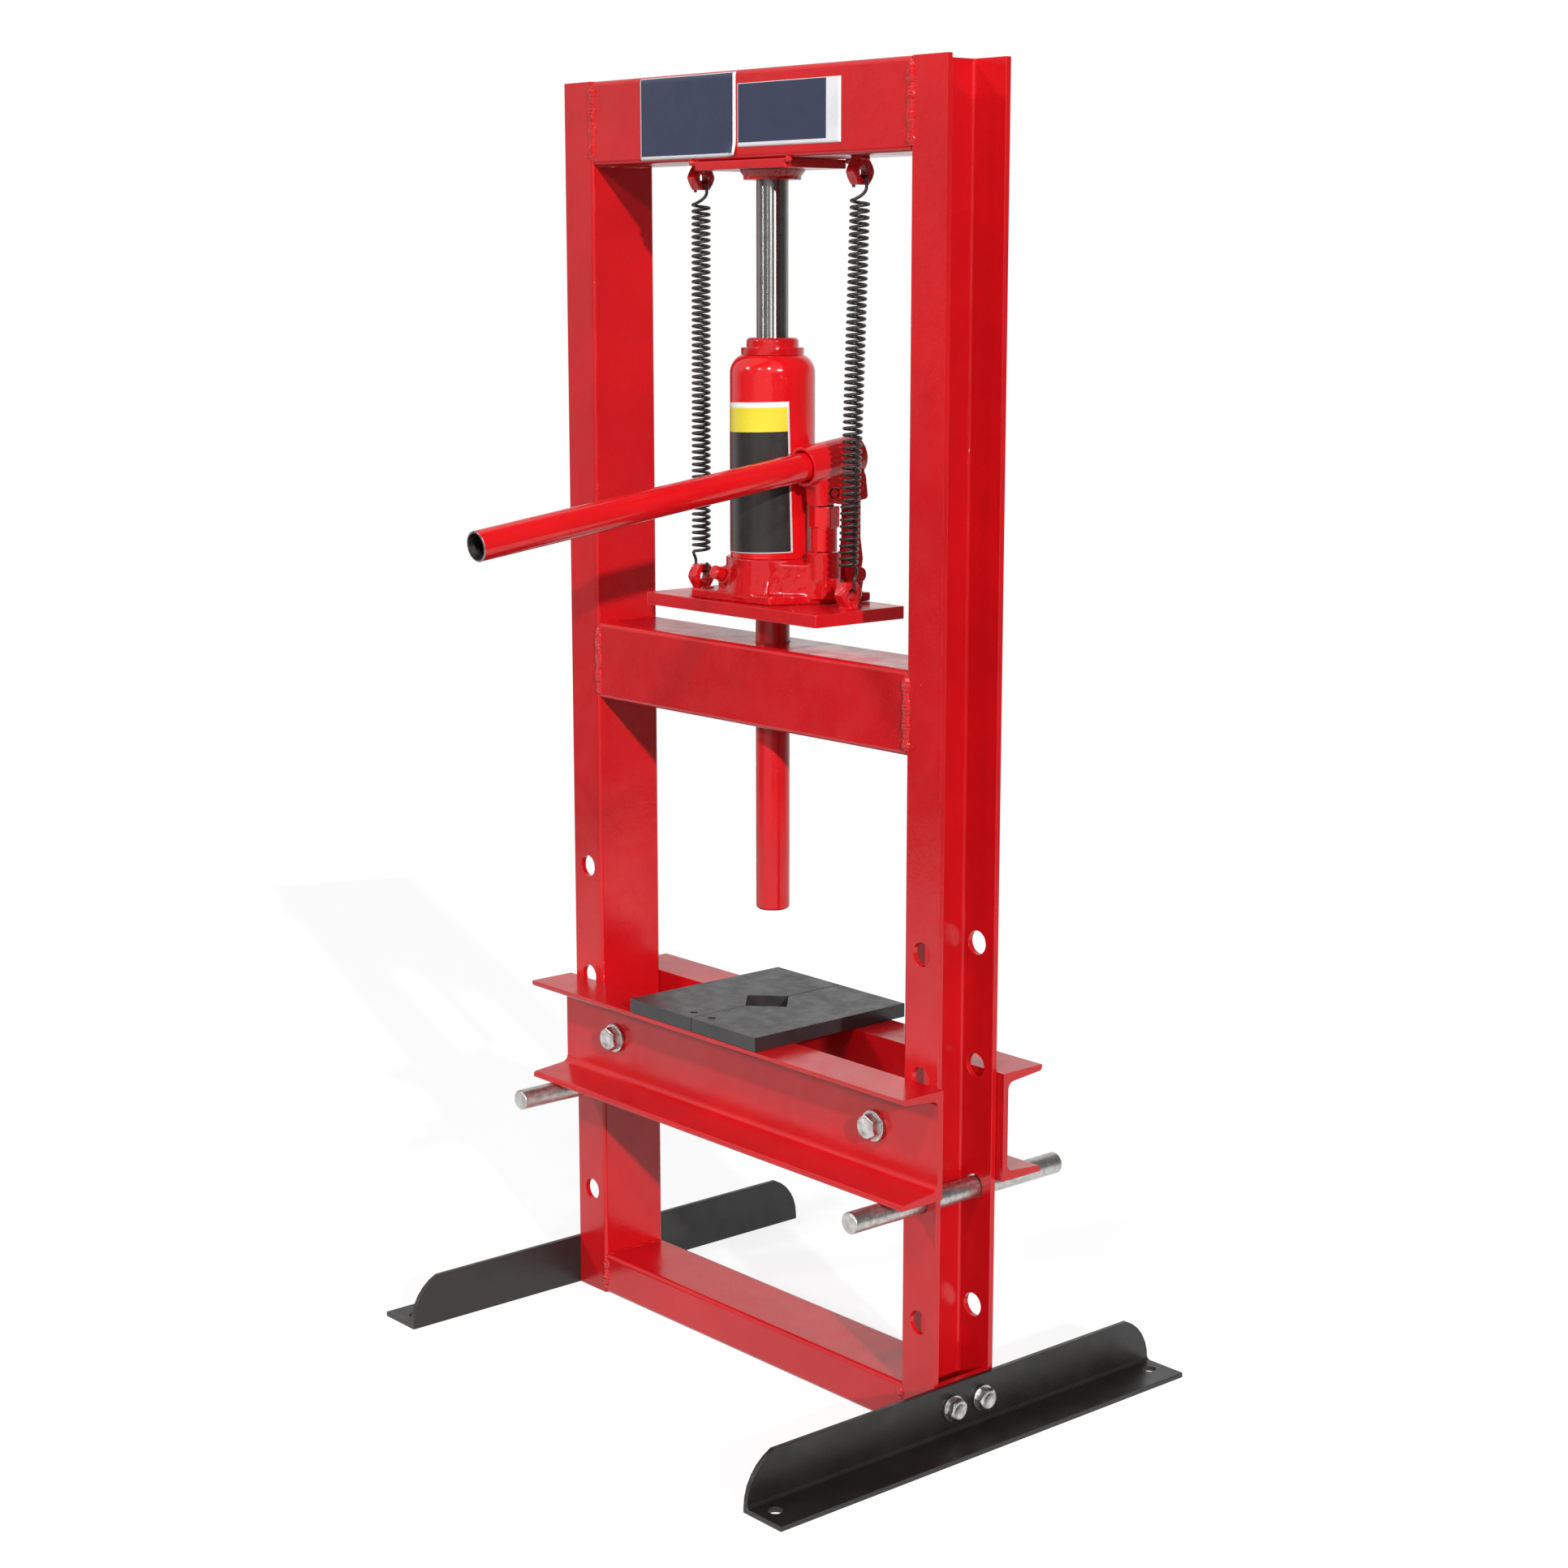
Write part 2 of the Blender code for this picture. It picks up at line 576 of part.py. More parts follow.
def spring_nut():
    """A nut on its corner, its bore along X, for a spring's hook."""
    bore = arc((0, 0), SPRING_NUT_BORE, 30, 370, 17)
    corners = hex_outline(SPRING_NUT_FLATS, corner_first=False)
    outer = []
    for a, b in zip(corners, corners[1:] + corners[:1]):
        outer += [(a[0] + (b[0] - a[0]) * t / 3, a[1] + (b[1] - a[1]) * t / 3) for t in range(3)]
    return pipe(outer, bore, -SPRING_NUT_HEIGHT / 2, SPRING_NUT_HEIGHT / 2, "X")


def foot_side_outline():
    """The foot seen from the side: square below, its top corners rounded away."""
    half = FOOT_LENGTH / 2
    rise = math.degrees(math.asin(min(1, (FOOT_HEIGHT - FOOT_WALL) / FOOT_CORNER)))
    centre = half - FOOT_CORNER
    rear = arc((centre, FOOT_WALL), FOOT_CORNER, 0, rise, 6)
    return [(-half, 0), (half, 0)] + rear + [(-y, z) for y, z in reversed(rear)]


def make_foot(side, sign):
    """Angle iron along Y, its tread turned outward, bolted to the upright."""
    inner_leg = FOOT_X + FOOT_WALL
    tip = HALF_WIDTH + FOOT_TREAD
    section = [(FOOT_X, 0), (tip, 0), (tip, FOOT_WALL)]
    fillet_centre = (inner_leg + FOOT_FILLET, FOOT_WALL + FOOT_FILLET)
    section += reversed(arc(fillet_centre, FOOT_FILLET, 180, 270, 3))
    section += [(inner_leg, FOOT_HEIGHT), (FOOT_X, FOOT_HEIGHT)]
    half = FOOT_LENGTH / 2
    middle_y = -sign * FOOT_OFFSET
    shape = prism([(z, sign * x) for x, z in section], -half, half, "Y", (0, middle_y, 0))
    envelope = prism(foot_side_outline(), -tip * 2, tip * 2, "X", (0, middle_y, 0))
    shape = boolean("INTERSECT", shape, envelope)
    drills = [rod(ANCHOR_HOLE_RADIUS, -FOOT_WALL, 2 * FOOT_WALL,
                  at=(sign * (FOOT_X + ANCHOR_FROM_LEG), middle_y + end * (half - ANCHOR_FROM_END), 0))
              for end in (-1, 1)]
    drills += [rod(FOOT_BOLT_RADIUS + BOLT_CLEARANCE, 0, 2 * tip, "X",
                   (min(0, sign * 2 * tip), end * FOOT_BOLT_SPACING / 2, FOOT_BOLT_HEIGHT))
               for end in (-1, 1)]
    add_piece(f"foot_{side}", cut(shape, *drills), "black")


def make_foot_fixings(side, sign):
    """The plate let into the channel's mouth, and two bolts through it."""
    plate_out = HALF_WIDTH - SEAT_GAP
    plate_in = plate_out - FOOT_PLATE_THICKNESS
    half_y = HALF_DEPTH - CHANNEL_WALL - SEAT_GAP
    hole = FOOT_BOLT_RADIUS + BOLT_CLEARANCE
    plate = box(sorted((sign * plate_in, sign * plate_out)), (-half_y, half_y), (SEAT_GAP, FOOT_HEIGHT))
    holes = [rod(hole, -HALF_WIDTH * 2, HALF_WIDTH * 2, "X",
                 (0, end * FOOT_BOLT_SPACING / 2, FOOT_BOLT_HEIGHT)) for end in (-1, 1)]
    add_piece(f"foot_plate_{side}", cut(plate, *holes), "red")
    leg_face = FOOT_X + FOOT_WALL
    washer_in, washer_out = leg_face + SEAT_GAP, leg_face + SEAT_GAP + FOOT_WASHER_HEIGHT
    head_seat = washer_out + SEAT_GAP
    nut_seat = plate_in - SEAT_GAP
    shank_end = nut_seat - FOOT_NUT_HEIGHT - FOOT_BOLT_STICKS_OUT
    shank_top = head_seat + FOOT_BOLT_HEAD / 2
    for place, end in (("front", -1), ("rear", 1)):
        at = (0, end * FOOT_BOLT_SPACING / 2, FOOT_BOLT_HEIGHT)
        head = hex_prism(FOOT_BOLT_FLATS, sign * head_seat, sign * (head_seat + FOOT_BOLT_HEAD))
        shank = rod(FOOT_BOLT_RADIUS, *sorted((sign * shank_end, sign * shank_top)), "X")
        add_piece(f"foot_bolt_{side}_{place}", union(head, shank), "zinc", location=at)
        washer = tube(FOOT_WASHER_RADIUS, hole, *sorted((sign * washer_in, sign * washer_out)),
                      "X", sides=SMALL_ROUND)
        add_piece(f"foot_washer_{side}_{place}", washer, "zinc", location=at)
        nut = hex_prism(FOOT_BOLT_FLATS, sign * (nut_seat - FOOT_NUT_HEIGHT), sign * nut_seat)
        nut = cut(nut, rod(hole, -HALF_WIDTH * 2, HALF_WIDTH * 2, "X"))
        add_piece(f"foot_nut_{side}_{place}", nut, "zinc", location=at)


def hex_prism(across_flats, start, end, axis="X"):
    return prism(hex_outline(across_flats), *sorted((start, end)), axis)


def make_frame():
    make_upright("upright_left", -1)
    make_upright("upright_right", 1)
    make_beam("bottom_beam", 0, BOTTOM_BEAM_HEIGHT)
    make_beam("middle_beam", MIDDLE_BEAM_Z, MIDDLE_BEAM_HEIGHT, arbor_hole=True)
    make_beam("top_beam", TOP_BEAM_Z, TOP_BEAM_HEIGHT)
    make_head()
    for side, sign in (("left", -1), ("right", 1)):
        make_foot(side, sign)
        make_foot_fixings(side, sign)


# ---------------------------------------------------------------------- bed

def bed_channel_outline():
    """Rolled channel with tapered flanges, web at +Y, in (y, z) from its foot."""
    tip, web, inner = -BED_TIP_Y, -BED_WEB_Y, -BED_WEB_Y - BED_WALL
    taper = (BED_ROOT - BED_TOE) / (BED_FLANGE - BED_WALL)
    r = BED_ROOT_FILLET
    root_z = BED_ROOT - taper * r
    corner = arc((inner - r, root_z + r), r, 0, -90, 4)
    toe = arc((tip + BED_TOE / 2, BED_TOE / 2), BED_TOE / 2, 90, 180, 3)
    lower = [(inner, root_z + r)] + corner[1:] + toe + [(tip, 0), (web, 0)]
    upper = [(y, BED_HEIGHT - z) for y, z in reversed(lower)]
    return lower + upper


def make_bed_channel(name, sign, parent):
    """Front channel for sign 1; the rear one is turned end for end."""
    outline = [(sign * y, z) for y, z in bed_channel_outline()]
    half_length = HALF_WIDTH + BED_OVERHANG
    shape = prism(outline, -half_length, half_length, "X")
    holes = [rod(BED_BOLT_RADIUS + BOLT_CLEARANCE, -BED_TIP_Y * 2, BED_TIP_Y * 2, "Y",
                 (end * BED_BOLT_X, 0, BED_HEIGHT / 2)) for end in (-1, 1)]
    add_piece(name, cut(shape, *holes), "red", parent)


def make_bed_fixings(side, sign, parent):
    """One bolt through both channels, with its washer, spacer and nut."""
    at = (sign * BED_BOLT_X, 0, BED_HEIGHT / 2)
    hole = BED_BOLT_RADIUS + BOLT_CLEARANCE
    half_spacer = BED_WEB_Y - SEAT_GAP
    spacer = tube(hole + BED_SPACER_WALL, hole, -half_spacer, half_spacer, "Y", sides=SMALL_ROUND)
    add_piece(f"bed_spacer_{side}", spacer, "red", parent, at)
    face = BED_WEB_Y + BED_WALL + SEAT_GAP
    washer_out = face + BED_WASHER_HEIGHT
    washer = tube(BED_WASHER_RADIUS, hole, -washer_out, -face, "Y")
    add_piece(f"bed_washer_{side}", washer, "zinc", parent, at)
    nut_out = face + BED_NUT_HEIGHT
    nut = cut(hex_prism(BED_BOLT_FLATS, face, nut_out, "Y"), rod(hole, 0, 2 * nut_out, "Y"))
    add_piece(f"bed_nut_{side}", nut, "zinc", parent, at)
    head_seat = washer_out + SEAT_GAP
    head = hex_prism(BED_BOLT_FLATS, -head_seat, -head_seat - BED_BOLT_HEAD, "Y")
    shank = rod(BED_BOLT_RADIUS, -head_seat - BED_BOLT_HEAD / 2, nut_out + BED_BOLT_STICKS_OUT, "Y")
    add_piece(f"bed_bolt_{side}", union(head, shank), "zinc", parent, at)


def make_press_plate(side, sign, parent):
    """Half of the split plate; the two notches make a diamond."""
    joint_x = PLATE_PARTING / 2
    outer_x = joint_x + PLATE_WIDTH
    half_y = PLATE_LENGTH / 2
    outline = [(joint_x, -half_y), (outer_x, -half_y), (outer_x, half_y), (joint_x, half_y),
               (joint_x, PLATE_NOTCH_HALF), (joint_x + PLATE_NOTCH_DEPTH, 0), (joint_x, -PLATE_NOTCH_HALF)]
    shape = prism([(sign * x, y) for x, y in outline], 0, PLATE_THICKNESS)
    hole = rod(PLATE_HOLE_RADIUS, -PLATE_THICKNESS, 2 * PLATE_THICKNESS,
               at=(sign * PLATE_HOLE_FROM_EDGE, PLATE_HOLE_FROM_FRONT - half_y, 0))
    at = (-PLATES_LEFT_OF_CENTRE, PLATES_BEHIND_CENTRE, BED_HEIGHT + SEAT_GAP)
    add_piece(f"press_plate_{side}", cut(shape, hole), "plate", parent, at)


def make_bed():
    bed_axis = add_axis("bed_slide_axis", (0, 0, BED_Z))
    make_bed_channel("bed_channel_front", 1, bed_axis)
    make_bed_channel("bed_channel_rear", -1, bed_axis)
    for side, sign in (("left", -1), ("right", 1)):
        make_bed_fixings(side, sign, bed_axis)
        make_press_plate(side, sign, bed_axis)
        pin = rod(PIN_RADIUS, -BED_TIP_Y - PIN_FRONT_REACH, BED_TIP_Y + PIN_REAR_REACH, "Y", sides=24)
        add_piece(f"support_pin_{side}", pin, "zinc",
                  location=(sign * PIN_HOLE_X, sign * PIN_PUSHED_IN / 2, PIN_Z))


# ----------------------------------------------------------------- carriage

def make_ram():
    """The ram stays under its cup while the jack body slides along it."""
    top = CUP_Z + CUP_HEIGHT - SEAT_GAP
    gland_foot = RESERVOIR_TOP_Z - RESERVOIR_WALL - SEAT_GAP
    piston_top = gland_foot - PISTON_BELOW_GLAND
    piston_foot = piston_top - PISTON_HEIGHT
    profile = [(0, piston_foot), (PISTON_RADIUS, piston_foot), (PISTON_RADIUS, piston_top),
               (RAM_RADIUS, piston_top), (RAM_RADIUS, top - RAM_CHAMFER),
               (RAM_RADIUS - RAM_CHAMFER, top), (0, top)]
    add_piece("ram_rod", turned(profile), "chrome")


def make_carriage_plate(parent):
    plate = rounded_box_outline(CARRIAGE_HALF_X, CARRIAGE_HALF_Y, CUT_EDGE, 1)
    add_piece("jack_plate", prism(plate, -CARRIAGE_THICKNESS, 0), "red", parent)
    plate_foot = -CARRIAGE_THICKNESS - SEAT_GAP
    nose = MIDDLE_BEAM_Z - ARBOR_BELOW_BEAM - CARRIAGE_TOP_Z
    profile = [(0, nose), (ARBOR_RADIUS - ARBOR_CHAMFER, nose), (ARBOR_RADIUS, nose + ARBOR_CHAMFER),
               (ARBOR_RADIUS, plate_foot), (0, plate_foot)]
    add_piece("arbor", turned(profile), "red", parent)
    nut_z = LOWER_NUT_Z - CARRIAGE_TOP_Z
    add_piece("lower_nut_left", spring_nut(), "red", parent, (-LOWER_NUT_X, 0, nut_z))
    add_piece("lower_nut_right", spring_nut(), "red", parent, (LOWER_NUT_X, 0, nut_z))


def hull_outline(circles, steps=8):
    """The outline of a band stretched round some circles, counter-clockwise."""
    points = sorted({(round(p[0], 7), round(p[1], 7)) for centre, radius in circles
                     for p in arc(centre, radius, 0, 360 - 360 / (4 * steps), 4 * steps - 1)})

    def chain(ordered):
        kept = []
        for p in ordered:
            while len(kept) > 1 and cross(kept[-2], kept[-1], p) <= 0:
                kept.pop()
            kept.append(p)
        return kept[:-1]

    return chain(points) + chain(points[::-1])


def cross(a, b, c):
    return (b[0] - a[0]) * (c[1] - a[1]) - (b[1] - a[1]) * (c[0] - a[0])


def raised_to_valve(shape):
    """A shape made along Y at the origin, moved to the valve boss's face and axis."""
    turn = Matrix.Rotation(-VALVE_RISE, 4, "X")
    place = Matrix.Translation((-VALVE_LEFT_OF_RAM, -VALVE_BOSS_FRONT, VALVE_HEIGHT))
    shape.transform(place @ turn)
    return shape


def collar_rib(bearing, root):
    """A rib down the collar, widest at its foot."""
    foot = COLLAR_RADIUS + JACK_RIB_FOOT
    inside = COLLAR_RADIUS / 2
    outline = [(inside, root), (foot, root), (foot, JACK_TREAD_HEIGHT),
               (COLLAR_RADIUS - WELD_DEPTH, JACK_RIB_HEIGHT), (inside, JACK_RIB_HEIGHT)]
    rib = prism(outline, -JACK_RIB_HALF, JACK_RIB_HALF, "X")
    rib.transform(Matrix.Rotation(bearing - math.pi / 2, 4, "Z"))
    return rib


def make_jack_base(parent):
    """The cast base: tread, collar, pump boss, link ears and valve boss."""
    half, r = COLLAR_RADIUS, JACK_TREAD_CORNER
    signs = ((-1, -1), (1, -1), (1, 1), (-1, 1))
    corners = [((sx * half + dx, sy * half + dy), r) for (sx, sy), (dx, dy) in zip(signs, JACK_TREAD)]
    corners.append(((half + JACK_TREAD_SIDE[0], JACK_TREAD_SIDE[1]), r))
    link_y = LINK_FOOT.y
    tread = prism(hull_outline(corners, 4), 0, JACK_TREAD_HEIGHT)
    root = JACK_TREAD_HEIGHT / 2
    collar = turned([(0, root), (COLLAR_RADIUS + JACK_SKIRT, root),
                     (COLLAR_RADIUS + JACK_SKIRT, JACK_TREAD_HEIGHT),
                     (COLLAR_RADIUS, JACK_COLLAR_NECK), (COLLAR_RADIUS, JACK_BASE_HEIGHT),
                     (0, JACK_BASE_HEIGHT)])
    boss = turned([(0, root), (PUMP_BOSS_FOOT, root), (PUMP_BOSS_RADIUS, PUMP_BOSS_SWELL),
                   (PUMP_BOSS_RADIUS, PUMP_BOSS_HEIGHT), (0, PUMP_BOSS_HEIGHT)],
                  at=(PUMP_X, PUMP_Y, 0), sides=24)
    bridge = prism(hull_outline([((0, 0), COLLAR_RADIUS - PUMP_BRIDGE_INSET),
                                 ((PUMP_X, PUMP_Y), PUMP_BRIDGE_HALF)], 16),
                   root, PUMP_BRIDGE_HEIGHT)
    ribs = [collar_rib(math.radians(bearing), root) for bearing in JACK_RIB_BEARINGS]
    ear_profile = hull_outline([((link_y, LINK_FOOT_HEIGHT), EAR_RADIUS),
                                ((link_y - EAR_ROOT_FORWARD, JACK_TREAD_HEIGHT), EAR_RADIUS)], 4)
    ears = prism(ear_profile, PUMP_X - EAR_OUTER, PUMP_X + EAR_OUTER, "X")
    ears = cut(ears, box((-1, 1), (-1, 1), (-1, root)))
    valve = raised_to_valve(rod(VALVE_BOSS_RADIUS, 0, VALVE_BOSS_FRONT / 2, "Y"))
    block = box((-VALVE_LEFT_OF_RAM - VALVE_BLOCK_HALF, -VALVE_LEFT_OF_RAM + VALVE_BLOCK_HALF),
                (VALVE_BOSS_BEYOND - COLLAR_RADIUS, 0), (root, VALVE_BLOCK_HEIGHT))
    shape = union(tread, collar, boss, bridge, ears, valve, block, *ribs)

    slot_half = LINK_HALF_WIDTH + SEAT_GAP
    link_room = LINK_FOOT_RADIUS + 2 * SEAT_GAP
    link_slot = box((PUMP_X - slot_half, PUMP_X + slot_half), (link_y - link_room, 1),
                    (LINK_FOOT_HEIGHT - link_room, 1))
    pin_hole = rod(LINK_PIN_RADIUS + SEAT_GAP, -2 * EAR_OUTER, 2 * EAR_OUTER, "X",
                   (PUMP_X, link_y, LINK_FOOT_HEIGHT))
    seat = rod(CYLINDER_RADIUS + SEAT_GAP, JACK_BASE_HEIGHT - CYLINDER_SEAT, 1, sides=ROUND)
    pump_bore = rod(PLUNGER_RADIUS + RUNNING_CLEARANCE, PUMP_BORE_FLOOR, 1, at=(PUMP_X, PUMP_Y, 0))
    valve_bore = raised_to_valve(rod(VALVE_STEM_RADIUS + RUNNING_CLEARANCE, -1,
                                     VALVE_STEM_DEPTH + VALVE_BORE_SPARE, "Y"))
    shape = cut(shape, link_slot, pin_hole, seat, pump_bore, valve_bore)
    add_piece("jack_base", shape, "red", parent, (0, 0, JACK_Z - CARRIAGE_TOP_Z))


def make_jack_body(parent):
    """Reservoir, pressure cylinder and gland, all open where the ram passes."""
    steepest = math.asin(SHOULDER_HEIGHT / SHOULDER_RADIUS)
    shoulder = [(RESERVOIR_RADIUS - SHOULDER_RADIUS * (1 - math.cos(steepest * i / 6)),
                 RESERVOIR_HEIGHT - SHOULDER_HEIGHT + SHOULDER_RADIUS * math.sin(steepest * i / 6))
                for i in range(6, -1, -1)]
    mouth = CYLINDER_RADIUS + CYLINDER_TO_MOUTH
    inner = RESERVOIR_RADIUS - RESERVOIR_WALL
    profile = [(mouth, RESERVOIR_HEIGHT)] + shoulder + [(RESERVOIR_RADIUS, 0), (inner, 0)]
    profile += [(inner, RESERVOIR_HEIGHT - SHOULDER_HEIGHT),
                (shoulder[0][0] - RESERVOIR_WALL, RESERVOIR_HEIGHT - RESERVOIR_WALL),
                (mouth, RESERVOIR_HEIGHT - RESERVOIR_WALL)]
    add_piece("reservoir", turned(profile), "red", parent, (0, 0, RESERVOIR_Z - CARRIAGE_TOP_Z))

    foot = JACK_Z + JACK_BASE_HEIGHT - CYLINDER_SEAT + SEAT_GAP - CARRIAGE_TOP_Z
    top = RESERVOIR_TOP_Z - RESERVOIR_WALL - SEAT_GAP - CARRIAGE_TOP_Z
    add_piece("pressure_cylinder", tube(CYLINDER_RADIUS, BORE_RADIUS, foot, top), "steel", parent)

    bore = RAM_RADIUS + RUNNING_CLEARANCE
    gland_foot = top + SEAT_GAP
    ring_foot = RESERVOIR_TOP_Z + SEAT_GAP - CARRIAGE_TOP_Z
    ring_top = RING_TOP_Z - CARRIAGE_TOP_Z
    gland_top = GLAND_TOP_Z - CARRIAGE_TOP_Z
    profile = [(bore, gland_foot), (CYLINDER_RADIUS, gland_foot), (CYLINDER_RADIUS, ring_foot),
               (RING_RADIUS, ring_foot), (RING_RADIUS, ring_top), (GLAND_RADIUS, ring_top),
               (GLAND_RADIUS, gland_top - GLAND_BEVEL), (GLAND_RADIUS - GLAND_BEVEL, gland_top),
               (bore, gland_top)]
    add_piece("gland_nut", turned(profile), "red", parent)


def make_pump(parent):
    """The pump's hexagon and barrel, screwed into the base's boss."""
    bore = PLUNGER_RADIUS + RUNNING_CLEARANCE
    barrel = rod(PUMP_BARREL_RADIUS, 0, PUMP_BARREL_HEIGHT + WELD_DEPTH)
    hexagon = prism(hex_outline(PUMP_HEX_FLATS), PUMP_BARREL_HEIGHT, PUMP_BARREL_HEIGHT + PUMP_HEX_HEIGHT)
    hexagon.transform(Matrix.Rotation(PUMP_HEX_TURN, 4, "Z"))
    shape = cut(union(barrel, hexagon), rod(bore, -1, 1))
    add_piece("pump_cylinder", shape, "red", parent, (PUMP_X, PUMP_Y, PUMP_BARREL_Z - CARRIAGE_TOP_Z))
    head = EAR_OUTER + SEAT_GAP
    pin = turned([(0, -EAR_OUTER), (LINK_PIN_RADIUS, -EAR_OUTER), (LINK_PIN_RADIUS, head),
                  (LINK_PIN_HEAD_RADIUS, head), (LINK_PIN_HEAD_RADIUS, head + LINK_PIN_HEAD),
                  (0, head + LINK_PIN_HEAD)], "X", sides=SMALL_ROUND)
    at = LINK_FOOT - Vector((0, 0, CARRIAGE_TOP_Z))
    add_piece("link_foot_pin", pin, "red", parent, at)


def make_link(parent):
    """The rocking link, its upper pin fixed in it; its origin is its lower pivot."""
    waist = ((0, LINK_WAIST), LINK_TOP_RADIUS)
    belly = ((0, LINK_BELLY), LINK_BELLY_RADIUS)
    bar = prism(hull_outline([((0, 0), LINK_FOOT_RADIUS), belly, waist], 4),
                -LINK_HALF_WIDTH, LINK_HALF_WIDTH, "X")
    shaft = prism(hull_outline([waist, ((0, LINK_LENGTH), LINK_TOP_RADIUS)], 4),
                  -LINK_HALF_WIDTH, LINK_HALF_WIDTH, "X")
    pin = rod(LINK_PIN_RADIUS, -CHEEK_OUTER, CHEEK_OUTER, "X", (0, 0, LINK_LENGTH))
    hole = rod(LINK_PIN_RADIUS + RUNNING_CLEARANCE, -1, 1, "X")
    add_piece("link", cut(union(bar, shaft, pin), hole), "red", parent)


def make_plunger(parent):
    """Pump plunger with a flat tongue and its cross pin, which is its origin."""
    foot = JACK_Z + PLUNGER_FOOT - PLUNGER_PIN_Z
    hex_top = PUMP_TOP_Z - PLUNGER_PIN_Z
    body = rod(PLUNGER_RADIUS, foot, hex_top + SEAT_GAP)
    tongue = prism(hull_outline([((0, 0), PLUNGER_RADIUS), ((0, hex_top), PLUNGER_RADIUS * 0.99)], 4),
                   -PLUNGER_TONGUE_HALF, PLUNGER_TONGUE_HALF, "X")
    tongue = cut(tongue, box((-1, 1), (-1, 1), (-1, hex_top)))
    pin = rod(PLUNGER_PIN_RADIUS, -CHEEK_OUTER, CHEEK_OUTER, "X")
    add_piece("plunger", union(body, tongue, pin), "steel", parent)


def make_socket(parent):
    """Handle socket in its own frame: the link pin at the origin, bore along Y."""
    axis_z = SOCKET_AXIS_ABOVE_PIVOT
    outer = rod(SOCKET_RADIUS, -SOCKET_MOUTH, SOCKET_REAR, "Y", (0, 0, axis_z), ROUND)
    corner_y, corner_z = CHEEK_REAR - CHEEK_CORNER, CHEEK_RADIUS - CHEEK_CORNER
    cheek = prism(hull_outline([((-CHEEK_REACH, 0), CHEEK_RADIUS), ((corner_y, -corner_z), CHEEK_CORNER),
                                ((corner_y, corner_z), CHEEK_CORNER)], 4),
                  -CHEEK_OUTER, CHEEK_OUTER, "X")
    neck = box((-CHEEK_OUTER, CHEEK_OUTER),
               (WELD_DEPTH - CHEEK_REACH - CHEEK_RADIUS, CHEEK_REAR - WELD_DEPTH), (0, axis_z))
    lean = SOCKET_BLOCK_DEPTH * math.tan(HANDLE_DROP)
    pocket_front = -PIVOT_SPACING - PLUNGER_RADIUS - lean - 2 * SEAT_GAP
    block_half = CHEEK_OUTER - SOCKET_BLOCK_STEP
    rounded_x = block_half - SOCKET_BLOCK_CORNER
    rounded_y = pocket_front - SOCKET_BLOCK_WALL + SOCKET_BLOCK_CORNER
    block = prism(hull_outline([((x, rounded_y), SOCKET_BLOCK_CORNER) for x in (-rounded_x, rounded_x)]
                               + [((x, -CHEEK_REACH), WELD_DEPTH)
                                  for x in (WELD_DEPTH - block_half, block_half - WELD_DEPTH)], 6),
                  -SOCKET_BLOCK_DEPTH, axis_z)
    shape = union(outer, cheek, neck, block)

    bore_end = SOCKET_REAR - SOCKET_END_WALL
    outside, flare_end = -SOCKET_MOUTH - SOCKET_FLARE, SOCKET_FLARE - SOCKET_MOUTH
    bore = turned([(0, outside), (SOCKET_BORE + 2 * SOCKET_FLARE, outside), (SOCKET_BORE, flare_end),
                   (SOCKET_BORE, bore_end), (0, bore_end)], "Y", (0, 0, axis_z))
    pocket = box((-CHEEK_INNER, CHEEK_INNER), (pocket_front, 1), (-1, POCKET_ROOF))
    slot_radius = PLUNGER_PIN_RADIUS + RUNNING_CLEARANCE
    slot = prism(hull_outline([((-PIVOT_SPACING, 0), slot_radius),
                               ((-PIVOT_SPACING + PLUNGER_SLOT, 0), slot_radius)], 5), -1, 1, "X")
    pin_hole = rod(LINK_PIN_RADIUS + RUNNING_CLEARANCE, -1, 1, "X")
    add_piece("handle_socket", cut(shape, bore, pocket, slot, pin_hole), "red", parent)


def make_handle(parent):
    start = -SOCKET_MOUTH - HANDLE_EXPOSED
    end = -SOCKET_MOUTH + HANDLE_INSERTED
    shape = tube(HANDLE_RADIUS, HANDLE_RADIUS - HANDLE_WALL, start, end, "Y",
                 (0, 0, SOCKET_AXIS_ABOVE_PIVOT))
    add_piece("handle", shape, "red", parent)


def make_release_valve(parent):
    """Knob and stem; the origin is on the stem's axis at the boss's face."""
    profile = [(0, -VALVE_KNOB_LENGTH), (VALVE_KNOB_RADIUS - VALVE_KNOB_BEVEL, -VALVE_KNOB_LENGTH),
               (VALVE_KNOB_RADIUS, -VALVE_KNOB_LENGTH + VALVE_KNOB_BEVEL), (VALVE_KNOB_RADIUS, -SEAT_GAP),
               (VALVE_STEM_RADIUS, -SEAT_GAP), (VALVE_STEM_RADIUS, VALVE_STEM_DEPTH), (0, VALVE_STEM_DEPTH)]
    at = (-VALVE_LEFT_OF_RAM, -VALVE_BOSS_FRONT, VALVE_HEIGHT + JACK_Z - CARRIAGE_TOP_Z)
    add_piece("release_valve", turned(profile, "Y", sides=SMALL_ROUND), "red", parent, at, -VALVE_RISE)


